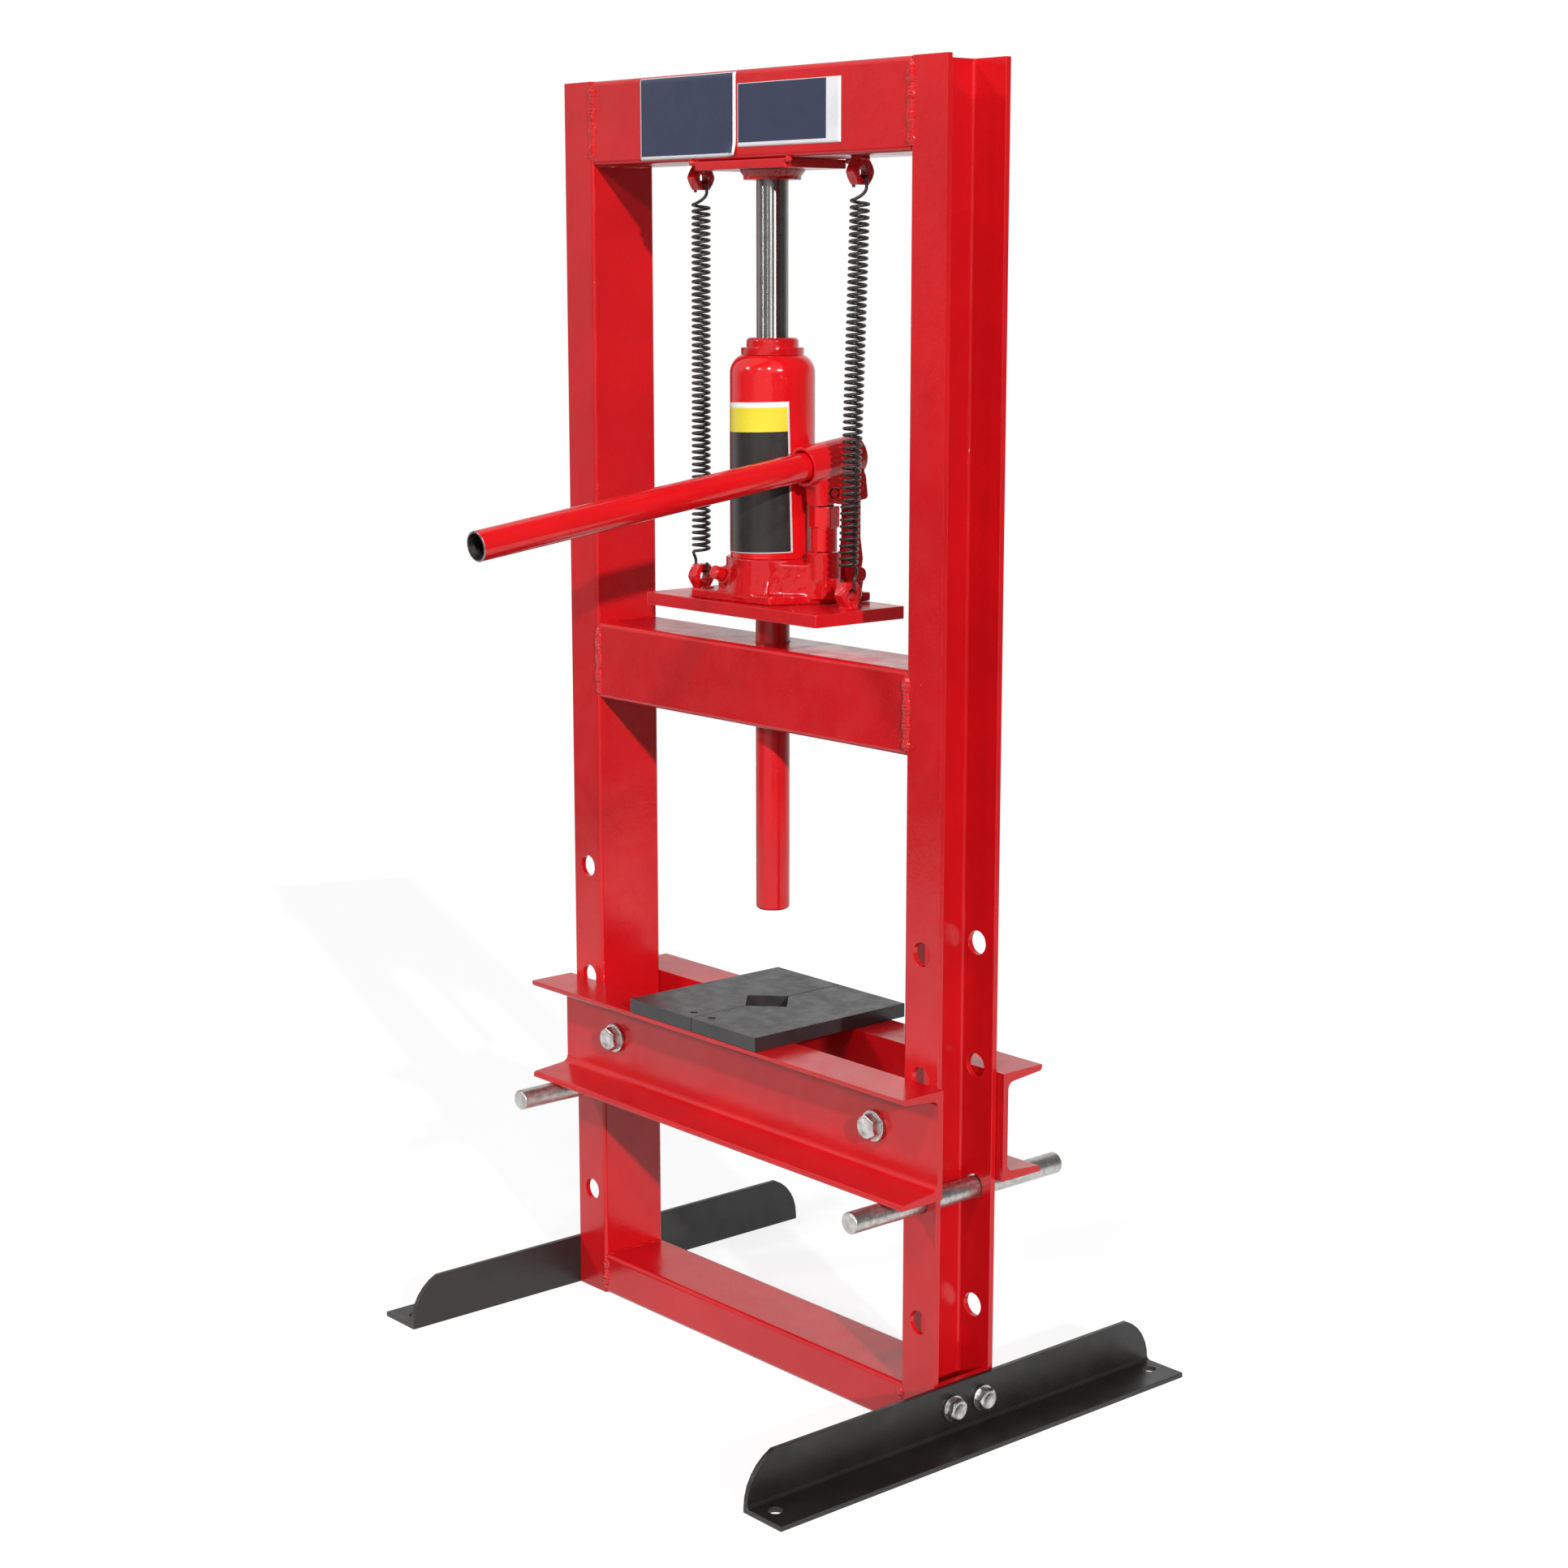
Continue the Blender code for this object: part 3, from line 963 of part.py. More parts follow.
def spring_path(top, foot, foot_hook):
    """The centre line of a spring's wire, hook to hook.

    The coil leans with the line between the nuts. Each hook runs through its
    nut's bore from one face and turns down, or up, on the other; foot_hook is
    the side, +1 or -1 along X, on which the wire reaches the lower nut.
    """
    coil_top = top - Vector((0, 0, SPRING_TOP_TO_NUT))
    coil_foot = foot + Vector((0, 0, SPRING_FOOT_TO_NUT))
    side_x = SPRING_NUT_HEIGHT / 2 + SPRING_WIRE_RADIUS + SPRING_HOOK_TO_NUT
    in_bore = SPRING_NUT_BORE - SPRING_WIRE_RADIUS - SEAT_GAP
    top_seat = top - Vector((0, 0, in_bore))
    path = [top_seat + Vector((x, 0, -z)) for x, z in hook_outline(side_x)]
    path.append(coil_top + Vector((SPRING_COIL_RADIUS - SPRING_LEAD_IN, 0, SPRING_LEAD_IN)))
    count = SPRING_TURNS * SPRING_SIDES_PER_TURN
    start = 0 if foot_hook < 0 else 0.5
    for i in range(int((SPRING_TURNS + start) * SPRING_SIDES_PER_TURN) + 1):
        angle = -math.tau * i / SPRING_SIDES_PER_TURN
        centre = coil_top.lerp(coil_foot, min(1.0, i / count))
        path.append(centre + SPRING_COIL_RADIUS * Vector((math.cos(angle), math.sin(angle), 0)))
    foot_seat = foot + Vector((0, 0, in_bore))
    path += [foot_seat + Vector((-foot_hook * x, 0, z)) for x, z in hook_outline(side_x)]
    return path


def hook_outline(side_x):
    """A hook's (x, depth) points, from its cut end, through the bore, to the coil's side."""
    end = [(-side_x, SPRING_HOOK), (-side_x, SPRING_HOOK_BEND), (-side_x + SPRING_HOOK_BEND, 0)]
    return end + [(-x, z) for x, z in reversed(end)]


def make_springs():
    for side, top_x, foot_x, foot_hook in (("left", UPPER_LEFT_NUT_X, -LOWER_NUT_X, -1),
                                           ("right", UPPER_RIGHT_NUT_X, LOWER_NUT_X, 1)):
        top = Vector((top_x, 0, UPPER_NUT_Z))
        foot = Vector((foot_x, 0, LOWER_NUT_Z))
        path = [p - top for p in spring_path(top, foot, foot_hook)]
        add_piece(f"spring_{side}", swept_wire(path, SPRING_WIRE_RADIUS, 3), "wire", location=top)


def make_carriage():
    slide = add_axis("carriage_axis", (0, 0, CARRIAGE_TOP_Z))
    make_carriage_plate(slide)
    make_jack_base(slide)
    make_jack_body(slide)
    make_pump(slide)
    make_release_valve(slide)
    down = Vector((0, 0, CARRIAGE_TOP_Z))
    make_link(add_axis("link_foot_axis", LINK_FOOT - down, slide))
    make_plunger(add_axis("plunger_axis", Vector((PUMP_X, PUMP_Y, PLUNGER_PIN_Z)) - down, slide))
    socket_axis = add_axis("link_top_axis", LINK_TOP - down, slide, HANDLE_DROP)
    make_socket(socket_axis)
    make_handle(socket_axis)


def main():
    for item in list(bpy.data.objects):
        bpy.data.objects.remove(item)
    make_frame()
    make_bed()
    make_ram()
    make_carriage()
    make_springs()


main()
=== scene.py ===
"""The looks of a small hydraulic shop press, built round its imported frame.

Metres, +Z up, +X to the press's right, -Y to its front, in the frame's own place.
"""
import json
import math
import random

import bmesh
import bpy
from mathutils import Matrix, Vector
from mathutils.geometry import interpolate_bezier


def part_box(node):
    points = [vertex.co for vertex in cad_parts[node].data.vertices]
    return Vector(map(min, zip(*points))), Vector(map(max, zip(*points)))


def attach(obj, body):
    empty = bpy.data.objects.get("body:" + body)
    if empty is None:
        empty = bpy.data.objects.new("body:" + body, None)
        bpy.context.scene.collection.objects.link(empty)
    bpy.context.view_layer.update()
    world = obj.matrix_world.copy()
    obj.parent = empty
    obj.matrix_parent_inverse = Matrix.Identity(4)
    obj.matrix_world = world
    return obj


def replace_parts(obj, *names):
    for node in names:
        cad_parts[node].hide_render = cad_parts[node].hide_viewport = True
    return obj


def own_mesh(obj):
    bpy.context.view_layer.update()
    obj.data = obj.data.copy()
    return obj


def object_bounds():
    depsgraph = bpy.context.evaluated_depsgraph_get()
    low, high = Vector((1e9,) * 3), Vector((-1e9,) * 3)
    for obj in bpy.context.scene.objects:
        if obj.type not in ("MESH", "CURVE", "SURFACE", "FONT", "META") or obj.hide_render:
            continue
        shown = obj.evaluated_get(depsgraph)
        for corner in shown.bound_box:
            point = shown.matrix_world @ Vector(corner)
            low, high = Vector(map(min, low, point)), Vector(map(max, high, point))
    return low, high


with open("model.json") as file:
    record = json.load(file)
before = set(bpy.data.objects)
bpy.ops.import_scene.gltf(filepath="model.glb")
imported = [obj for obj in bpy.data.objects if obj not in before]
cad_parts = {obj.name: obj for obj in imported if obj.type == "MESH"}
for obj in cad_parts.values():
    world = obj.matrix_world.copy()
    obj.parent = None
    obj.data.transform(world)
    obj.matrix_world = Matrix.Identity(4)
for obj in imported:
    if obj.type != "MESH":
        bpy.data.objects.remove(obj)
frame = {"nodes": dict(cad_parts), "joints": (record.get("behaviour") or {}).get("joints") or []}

CAD_BOX = [list(corner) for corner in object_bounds()]
nodes = frame["nodes"]
MM = 0.001


# --------------------------------------------------------------------------- studio
# A white paper floor and backdrop, with the dark of the room behind the camera and a pale
# wall to its left. One lamp to the right is the key; three weaker ones fill its shadows,
# the last of them near the top of the press.

CAMERA_PLACE = (1.66787, -1.42808, 0.88597)
CAMERA_TURN = (79.47, 0.0, 49.194)     # degrees: from straight down, roll, round to the right
LENS = 63.70                           # mm, on a 36 mm wide sensor
LAMPS = (((1.0, -0.386, 0.417), 2.20, 1.5),         # from where, strength, size in degrees
         ((-0.435, -0.90, 0.466), 0.86, 6.0),
         ((0.194, -0.981, 0.50), 0.22, 4.0))
NEAR_LAMP = (0.76, -0.93, 1.52)        # close enough that its light falls off down the press
NEAR_LAMP_POWER = 21                   # W
SKY = 0.25                             # even light from all round
ROOM = ((-180, 0.72), (-112, 0.85), (-98, 0.42), (-89, 0.06), (-78, 0.22), (-56, 0.25), (-50, 0.75),
        (-4, 0.75), (0, 0.10), (96, 0.12), (118, 0.85), (180, 0.72))   # bearing from the camera, brightness
PAPER_RADIUS = 1.9
PAPER_GLOW = 0.84                      # lifts the lit paper to white for the camera


def linear(code):
    """An sRGB hex colour as the linear values that a shader takes."""
    values = [int(code[i:i + 2], 16) / 255 for i in (1, 3, 5)]
    return tuple(v / 12.92 if v <= 0.04045 else ((v + 0.055) / 1.055) ** 2.4 for v in values) + (1.0,)


def add_node(tree, kind, inputs=None, **settings):
    """Adds a shader node: an input that is a socket is linked, any other is set."""
    node = tree.nodes.new("ShaderNode" + kind)
    for name, value in settings.items():
        setattr(node, name, value)
    for socket, value in (inputs or {}).items():
        if isinstance(value, bpy.types.NodeSocket):
            tree.links.new(value, node.inputs[socket])
        else:
            node.inputs[socket].default_value = value
    return node


scene = bpy.context.scene
scene.view_settings.view_transform = "Standard"

camera = bpy.data.objects.new("camera", bpy.data.cameras.new("camera"))
scene.collection.objects.link(camera)
camera.location = CAMERA_PLACE
camera.rotation_euler = [math.radians(angle) for angle in CAMERA_TURN]
camera.data.lens = LENS
camera.data.clip_start = 0.05
scene.camera = camera

for number, (place, strength, size) in enumerate(LAMPS):
    lamp = bpy.data.objects.new(f"lamp_{number}", bpy.data.lights.new(f"lamp_{number}", "SUN"))
    scene.collection.objects.link(lamp)
    lamp.rotation_euler = Vector(place).to_track_quat("Z", "Y").to_euler()
    lamp.data.energy = strength
    lamp.data.angle = math.radians(size)
lamp = bpy.data.objects.new("near_lamp", bpy.data.lights.new("near_lamp", "POINT"))
scene.collection.objects.link(lamp)
lamp.location = NEAR_LAMP
lamp.data.energy = NEAR_LAMP_POWER
lamp.data.shadow_soft_size = 0.05

world = bpy.data.worlds.new("studio")
scene.world = world
world.use_nodes = True
tree = world.node_tree
tree.nodes.clear()
rays = add_node(tree, "LightPath")
toward = add_node(tree, "TexCoord").outputs["Generated"]
room_side = Vector((CAMERA_PLACE[0], CAMERA_PLACE[1], 0)).normalized()
facing = add_node(tree, "VectorMath", {0: toward, 1: room_side}, operation="DOT_PRODUCT")
aside = add_node(tree, "VectorMath", {0: toward, 1: (-room_side.y, room_side.x, 0)}, operation="DOT_PRODUCT")
bearing = add_node(tree, "Math", {0: aside.outputs["Value"], 1: facing.outputs["Value"]}, operation="ARCTAN2")
height = add_node(tree, "SeparateXYZ", {0: toward}).outputs["Z"]
bearing = add_node(tree, "Math", {0: bearing.outputs[0], 1: height}, operation="SUBTRACT")
round_room = add_node(tree, "MapRange", {0: bearing.outputs[0], 1: -math.pi, 2: math.pi, 3: 0.0, 4: 1.0})
walls = add_node(tree, "ValToRGB", {0: round_room.outputs[0]})
stops = walls.color_ramp.elements
for number, (degrees, brightness) in enumerate(ROOM):
    stop = stops[0] if number == 0 else stops.new(degrees / 360 + 0.5)
    stop.position = degrees / 360 + 0.5
    stop.color = (brightness, brightness, brightness, 1.0)
stops.remove(stops[-1])
even = add_node(tree, "Background", {"Strength": SKY})
room = add_node(tree, "Background", {"Strength": 1.0})
white = add_node(tree, "Background", {"Strength": 1.0})
for background in (even, white):
    background.inputs["Color"].default_value = linear("#FFFFFF")
tree.links.new(walls.outputs["Color"], room.inputs["Color"])
mirrored = add_node(tree, "Math", {0: rays.outputs["Is Glossy Ray"],
                                   1: rays.outputs["Is Transmission Ray"]}, operation="MAXIMUM")
unseen = add_node(tree, "MixShader", {0: mirrored.outputs[0], 1: even.outputs[0], 2: room.outputs[0]})
seen = add_node(tree, "MixShader", {0: rays.outputs["Is Camera Ray"], 1: unseen.outputs[0],
                                    2: white.outputs[0]})
add_node(tree, "OutputWorld", {"Surface": seen.outputs[0]})

paper = bpy.data.meshes.new("paper_floor")
shape = bmesh.new()
bmesh.ops.create_circle(shape, cap_ends=True, radius=PAPER_RADIUS, segments=96)
shape.to_mesh(paper)
shape.free()
floor = bpy.data.objects.new("paper_floor", paper)
scene.collection.objects.link(floor)
floor.location.z = -0.0004             # just under the feet, so that nothing shares its plane
card = bpy.data.materials.new("background paper")
card.use_nodes = True
tree = card.node_tree
tree.nodes.clear()
rays = add_node(tree, "LightPath")
direct = add_node(tree, "Math", {0: rays.outputs["Is Camera Ray"],
                                 1: rays.outputs["Is Glossy Ray"]}, operation="MAXIMUM")
direct = add_node(tree, "Math", {0: direct.outputs[0],
                                 1: rays.outputs["Is Transmission Ray"]}, operation="MAXIMUM")
glow = add_node(tree, "Math", {0: direct.outputs[0], 1: PAPER_GLOW}, operation="MULTIPLY")
matt = add_node(tree, "BsdfDiffuse", {"Color": linear("#949494")})
lift = add_node(tree, "Emission", {"Color": linear("#FFFFFF"), "Strength": glow.outputs[0]})
both = add_node(tree, "AddShader", {0: matt.outputs[0], 1: lift.outputs[0]})
add_node(tree, "OutputMaterial", {"Surface": both.outputs[0]})
paper.materials.append(card)


# ------------------------------------------------------------------------- uprights
# Two 63 mm channels, open side outward, sawn to length and drilled for the support pins.
# Hot-rolled steel under one sprayed coat of red alkyd enamel.

SAWN_EDGE = 0.6 * MM


def new_material(name):
    """An empty material with its tree, its shader and the piece's own coordinates."""
    material = bpy.data.materials.new(name)
    material.use_nodes = True
    tree = material.node_tree
    tree.nodes.clear()
    shader = add_node(tree, "BsdfPrincipled")
    add_node(tree, "OutputMaterial", {"Surface": shader.outputs[0]})
    return material, tree, shader, add_node(tree, "TexCoord").outputs["Object"]


def pattern(tree, place, size, low=0.0, high=1.0, detail=2.0, span=(0.35, 0.65)):
    """Cloudy noise with blotches of a real size in metres, stretched to run from low to high."""
    noise = add_node(tree, "TexNoise", {"Vector": place, "Scale": 1 / size, "Detail": detail})
    spread = add_node(tree, "MapRange", {0: noise.outputs[0], 1: span[0], 2: span[1], 3: low, 4: high})
    return spread.outputs[0]


def blend_colours(tree, factor, first, second):
    """The first colour, turning into the second as the factor rises to 1."""
    mix = add_node(tree, "Mix", {0: factor, 6: first, 7: second}, data_type="RGBA")
    return mix.outputs[2]


def edge_mask(tree, place, width, amount):
    """1 along edges, broken up by noise, 0 on open faces."""
    rounded = add_node(tree, "Bevel", {"Radius": width}, samples=4)
    plain = add_node(tree, "NewGeometry")
    turn = add_node(tree, "VectorMath", {0: rounded.outputs[0], 1: plain.outputs["Normal"]},
                    operation="DOT_PRODUCT")
    edge = add_node(tree, "MapRange", {0: turn.outputs["Value"], 1: 0.98, 2: 0.85, 3: 0.0, 4: amount})
    breaks = pattern(tree, place, 6 * MM, 0.0, 1.0, 3.0, (0.42, 0.60))
    return add_node(tree, "Math", {0: edge.outputs[0], 1: breaks}, operation="MULTIPLY").outputs[0]


def raise_surface(tree, shader, *layers):
    """Chains bumps of (height 0 to 1, real depth in metres) into the shader's normal."""
    normal = None
    for height, depth in layers:
        inputs = {"Height": height, "Distance": depth, "Strength": 1.0}
        if normal:
            inputs["Normal"] = normal
        normal = add_node(tree, "Bump", inputs).outputs[0]
    tree.links.new(normal, shader.inputs["Normal"])


def sprayed_enamel(name, colour, thin_edge_and_highlight, dark, waviness, gloss=(0.16, 0.26), lumps=0.0):
    """Alkyd enamel: a glossy skin with fine orange peel; its sharp edges turn lighter, partly for the thinner
    paint there and partly as a painted highlight.
    """
    material, tree, shader, place = new_material(name)
    shade = pattern(tree, place, 70 * MM, 0.0, 0.55)
    mottled = blend_colours(tree, shade, linear(colour), linear(dark))
    # painted highlight: a lighter colour along sharp edges, partly for thinner paint there and partly for the
    # light lines that edges catch
    edges = edge_mask(tree, place, 1.1 * MM, 0.55)
    tree.links.new(blend_colours(tree, edges, mottled, linear(thin_edge_and_highlight)), shader.inputs["Base Color"])
    tree.links.new(pattern(tree, place, 25 * MM, *gloss), shader.inputs["Roughness"])
    shader.inputs["IOR"].default_value = 1.50
    peel = pattern(tree, place, 2.2 * MM)
    rolled = pattern(tree, place, 26 * MM)
    grit = pattern(tree, place, 0.9 * MM, 0.0, 1.0, 0.0, (0.70, 0.80))
    raise_surface(tree, shader, (rolled, waviness), (pattern(tree, place, 4.5 * MM), lumps),
                  (peel, 0.025 * MM), (grit, 0.05 * MM))
    return material


def finish_node(name, material, edge, segments=2):
    """Breaks a CAD node's sharp edges, shades it smooth between them and paints it."""
    piece = nodes[name]
    close = piece.modifiers.new("close", "WELD")
    close.merge_threshold = 1e-6
    flat = piece.modifiers.new("flat_faces", "DECIMATE")
    flat.decimate_type = "DISSOLVE"
    flat.angle_limit = math.radians(0.5)
    bevel = piece.modifiers.new("broken_edges", "BEVEL")
    bevel.width = edge
    bevel.segments = segments
    bevel.limit_method = "ANGLE"
    bevel.angle_limit = math.radians(35)
    piece.modifiers.new("shading", "WEIGHTED_NORMAL").weight = 100
    piece.data.materials.clear()
    piece.data.materials.append(material)
    return piece


# the second colour is the lighter red along edges: partly thinner paint, partly a painted highlight
RED, RED_THIN_EDGE_AND_HIGHLIGHT, RED_DARK = "#D6131B", "#E8413C", "#C00F16"
frame_enamel = sprayed_enamel("red alkyd enamel on rolled steel", RED, RED_THIN_EDGE_AND_HIGHLIGHT, RED_DARK, 0.10 * MM)
for side in ("left", "right"):
    finish_node(f"upright_{side}", frame_enamel, SAWN_EDGE)


# ---------------------------------------------------------------------- cross beams
# Three rectangular tubes between the uprights' webs, under the same enamel. The middle one
# is bored for the arbor. Arc-welded all round, so the coat lies over rippled beads and spatter.

WELD_THROAT = 5.0 * MM
WELD_INSET = 2.6 * MM                  # its centre behind the face, so that it lies flat and wide
WELD_RIPPLE = 2.9 * MM
WELD_START = 2 * MM                    # from the beam's corner
WELD_SINK = 0.5 * MM                   # its centre past the beam's end, in the upright's web
WELD_SLIM = 0.75                       # the level runs against the upright ones
SPATTER_REACH = 8 * MM


def make_piece(name, shape, material, body, smooth_angle=40):
    """Turns a finished bmesh into a piece that rides on a body."""
    mesh = bpy.data.meshes.new(name)
    bmesh.ops.recalc_face_normals(shape, faces=shape.faces)
    shape.to_mesh(mesh)
    shape.free()
    mesh.shade_smooth()
    mesh.set_sharp_from_angle(angle=math.radians(smooth_angle))
    mesh.materials.append(material)
    piece = bpy.data.objects.new(name, mesh)
    scene.collection.objects.link(piece)
    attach(piece, body)
    return piece


def join_rings(shape, rings):
    """Skins a row of rings and closes both ends."""
    for ring, following in zip(rings, rings[1:]):
        for k in range(len(ring)):
            n = (k + 1) % len(ring)
            shape.faces.new((ring[k], ring[n], following[n], following[k]))
    shape.faces.new(rings[0])
    shape.faces.new(rings[-1])


def weld_bead(shape, start, end, throat, draw):
    """A half-buried run of weld: overlapping ripples, uneven, tapering at both ends."""
    start, end = Vector(start), Vector(end)
    along = (end - start).normalized()
    side = along.orthogonal().normalized()
    up = along.cross(side)
    length = (end - start).length
    steps = max(8, int(length / (0.55 * MM)))
    sway = draw.uniform(0, 6)
    rings = []
    for i in range(steps + 1):
        s = length * i / steps
        ripple = (s / WELD_RIPPLE) % 1
        fade = math.sqrt(max(0.02, min(1, s / throat, (length - s) / throat)))
        radius = throat * fade * (0.80 + 0.22 * math.sqrt(ripple) + 0.10 * math.sin(s * 410 + sway))
        centre = start + along * s + (side * math.sin(s * 230 + sway) + up * math.sin(s * 170)) * 0.2 * MM
        rings.append([shape.verts.new(centre + radius * (math.cos(a) * side + math.sin(a) * up))
                      for a in (math.tau * k / 14 for k in range(14))])
    join_rings(shape, rings)


def spatter(shape, centre, half_height, draw, count=14):
    """Little frozen drops of steel on the front face beside a weld."""
    for _ in range(count):
        at = Vector(centre) + Vector((draw.gauss(0, SPATTER_REACH), 0, draw.uniform(-0.9, 0.9) * half_height))
        size = draw.uniform(0.25, 0.6) * MM
        bmesh.ops.create_icosphere(shape, subdivisions=1, radius=size, matrix=Matrix.Translation(at))


weld_enamel = sprayed_enamel("red enamel over arc weld", RED, RED_THIN_EDGE_AND_HIGHLIGHT, RED_DARK, 0.40 * MM, (0.06, 0.11),
                             0.45 * MM)
for beam in ("bottom_beam", "middle_beam", "top_beam"):
    finish_node(beam, frame_enamel, SAWN_EDGE)
    low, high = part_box(beam)
    draw = random.Random(beam)
    welds = bmesh.new()
    for side in (-1, 1):
        joint_x = side * (high.x + WELD_SINK)
        for face_y in (low.y + WELD_INSET, high.y - WELD_INSET):
            weld_bead(welds, (joint_x, face_y, low.z + WELD_START), (joint_x, face_y, high.z - WELD_START),
                      WELD_THROAT, draw)
        for face_z in (low.z + WELD_INSET, high.z - WELD_INSET):
            if 0.01 < face_z < CAD_BOX[1][2] - 0.01:
                weld_bead(welds, (side * high.x, low.y + WELD_START, face_z),
                          (side * high.x, high.y - WELD_START, face_z),
                          WELD_SLIM * WELD_THROAT, draw)
        spatter(welds, (joint_x, low.y, (low.z + high.z) / 2), (high.z - low.z) / 2, draw)
    make_piece(f"weld_{beam}", welds, weld_enamel, "frame", 60)


# ------------------------------------------------------------------ head of the press
# A flat of 7 mm plate under the top beam, a flared cup that takes the ram's end, and two
# M12 nuts stood on their corners for the springs. All tacked on and painted with the frame.

HEAD_TACK = 2.4 * MM
HEAD_TACK_LENGTH, HEAD_TACK_INSET = 7 * MM, 1 * MM
TACK_OVERRUN = 2.5 * MM                # how far a tack runs past the nut at each end
SPRING_NUT_FLATS = 19 * MM
SPRING_NUT_BORE = 5.1 * MM             # its radius
NUT_TACKS = (-2.5 * MM, 2.5 * MM)      # where a nut's two tacks lie, along the press's depth
RAM_PLAY = 0.4 * MM                    # round the ram, in its cup and its gland


def hexagon_reach(angle, across_flats):
    """How far a hexagon's side is from its centre at an angle, a corner lying at angle 0."""
    return across_flats / 2 / math.cos((angle % (math.pi / 3)) - math.pi / 6)


def aimed(centre, axis):
    """The placing of something built along Z, so that it runs along an axis from a centre."""
    return Matrix.Translation(centre) @ Vector(axis).to_track_quat("Z", "Y").to_matrix().to_4x4()


def ring_point(turn, radius, angle, z):
    """A point of a ring round the axis of a shape that has been aimed."""
    return turn @ Vector((radius * math.cos(angle), radius * math.sin(angle), z))


def forged_nut(shape, centre, across_flats, height, bore, axis, corner=0.0, steps=96):
    """A nut with both ends turned to a 30 degree cone, so that its corners are rounded off."""
    turn = aimed(centre, axis)
    crown = 0.95 * across_flats / 2
    rings = []
    for inward, level in ((True, -1), (False, -1), (None, -1), (None, 1), (False, 1), (True, 1)):
        ring = []
        for k in range(steps):
            angle = math.tau * k / steps
            reach = hexagon_reach(angle + corner, across_flats)
            radius = bore if inward else crown if inward is False else reach
            drop = (reach - crown) * math.tan(math.radians(30)) if inward is None else 0
            z = level * (height / 2 - drop)
            ring.append(shape.verts.new(ring_point(turn, radius, angle, z)))
        rings.append(ring)
    for ring, following in zip(rings, rings[1:] + rings[:1]):
        for k in range(steps):
            n = (k + 1) % steps
            shape.faces.new((ring[k], ring[n], following[n], following[k]))


finish_node("head_plate", frame_enamel, SAWN_EDGE)
plate_low, plate_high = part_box("head_plate")
draw = random.Random("head")
tacks = bmesh.new()
for end_x in (plate_low.x, plate_high.x):
    for face_y in (plate_low.y + HEAD_TACK_INSET, plate_high.y - HEAD_TACK_INSET):
        tack_z = plate_high.z - HEAD_TACK_INSET
        tack_end = end_x + math.copysign(HEAD_TACK_LENGTH, end_x)
        weld_bead(tacks, (end_x, face_y, tack_z), (tack_end, face_y, tack_z), HEAD_TACK, draw)


def turned_piece(name, profile, material, body, centre=(0, 0, 0), axis=(0, 0, 1), steps=96):
    """A piece turned from (radius, height) points; the ends close on the axis, or on each other."""
    shape = bmesh.new()
    turn = aimed(centre, axis)
    rings = []
    for radius, height in profile:
        count = steps if radius > 1e-7 else 1
        rings.append([shape.verts.new(ring_point(turn, radius, math.tau * k / steps, height))
                      for k in range(count)])
    hollow = len(rings[0]) > 1 and len(rings[-1]) > 1
    for ring, following in zip(rings, rings[1:] + rings[:1] if hollow else rings[1:]):
        for k in range(steps):
            corners = (ring[k % len(ring)], ring[(k + 1) % steps % len(ring)],
                       following[(k + 1) % steps % len(following)], following[k % len(following)])
            shape.faces.new(list(dict.fromkeys(corners)))
    return make_piece(name, shape, material, body, 32)


def eased(profile, radius, steps=3):
    """Rounds every inner corner of a profile."""
    result = [profile[0]]
    for before, corner, after in zip(profile, profile[1:], profile[2:]):
        before, corner, after = Vector(before), Vector(corner), Vector(after)
        first = corner + (before - corner).normalized() * min(radius, (before - corner).length * 0.45)
        last = corner + (after - corner).normalized() * min(radius, (after - corner).length * 0.45)
        for i in range(steps + 1):
            t = i / steps
            result.append(tuple((1 - t) ** 2 * first + 2 * t * (1 - t) * corner + t ** 2 * last))
    return result + [profile[-1]]


cup_low, cup_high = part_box("ram_cup")
ram_low, ram_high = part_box("ram_rod")
RAM_RADIUS = 12.6 * MM
CUP_FOOT, CUP_FLARE = 2.6 * MM, 3.5 * MM   # its straight foot, and how far it widens above
cup_bore = RAM_RADIUS + RAM_PLAY
cup_foot_radius = cup_high.x - CUP_FLARE
cup_profile = [(cup_bore, cup_low.z), (cup_foot_radius, cup_low.z), (cup_foot_radius, cup_low.z + CUP_FOOT),
               (cup_high.x, cup_high.z), (cup_bore, cup_high.z)]
cup = turned_piece("ram_seat_cup", eased(cup_profile, 0.7 * MM), weld_enamel, "frame")
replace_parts(cup, "ram_cup")

for nut in ("upper_nut_left", "upper_nut_right"):
    low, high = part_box(nut)
    centre = (low + high) / 2
    shape = bmesh.new()
    forged_nut(shape, centre, SPRING_NUT_FLATS, high.x - low.x, SPRING_NUT_BORE, (1, 0, 0))
    welded = make_piece(f"spring_{nut}", shape, weld_enamel, "frame", 28)
    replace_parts(welded, nut)
    for face_y in NUT_TACKS:
        tack_z = high.z - 1.2 * MM
        weld_bead(tacks, (low.x - TACK_OVERRUN, face_y, tack_z), (high.x + TACK_OVERRUN, face_y, tack_z),
                  HEAD_TACK, draw)
make_piece("weld_head", tacks, weld_enamel, "frame", 60)


# ------------------------------------------------------------------------- stickers
# Two printed vinyl labels on the front of the top beam, left blank: a dark blue panel on
# white film. The left one laps the beam's rounded edge and its free corner has lifted.

FILM = 0.15 * MM                       # from the paint to the middle of the film
FILM_BODY = 0.1 * MM                   # its thickness
PEEL_REACH = 14 * MM                   # how far in from its corner it has lifted
BEAM_CORNER = 4 * MM
STICKER_GRID = 28


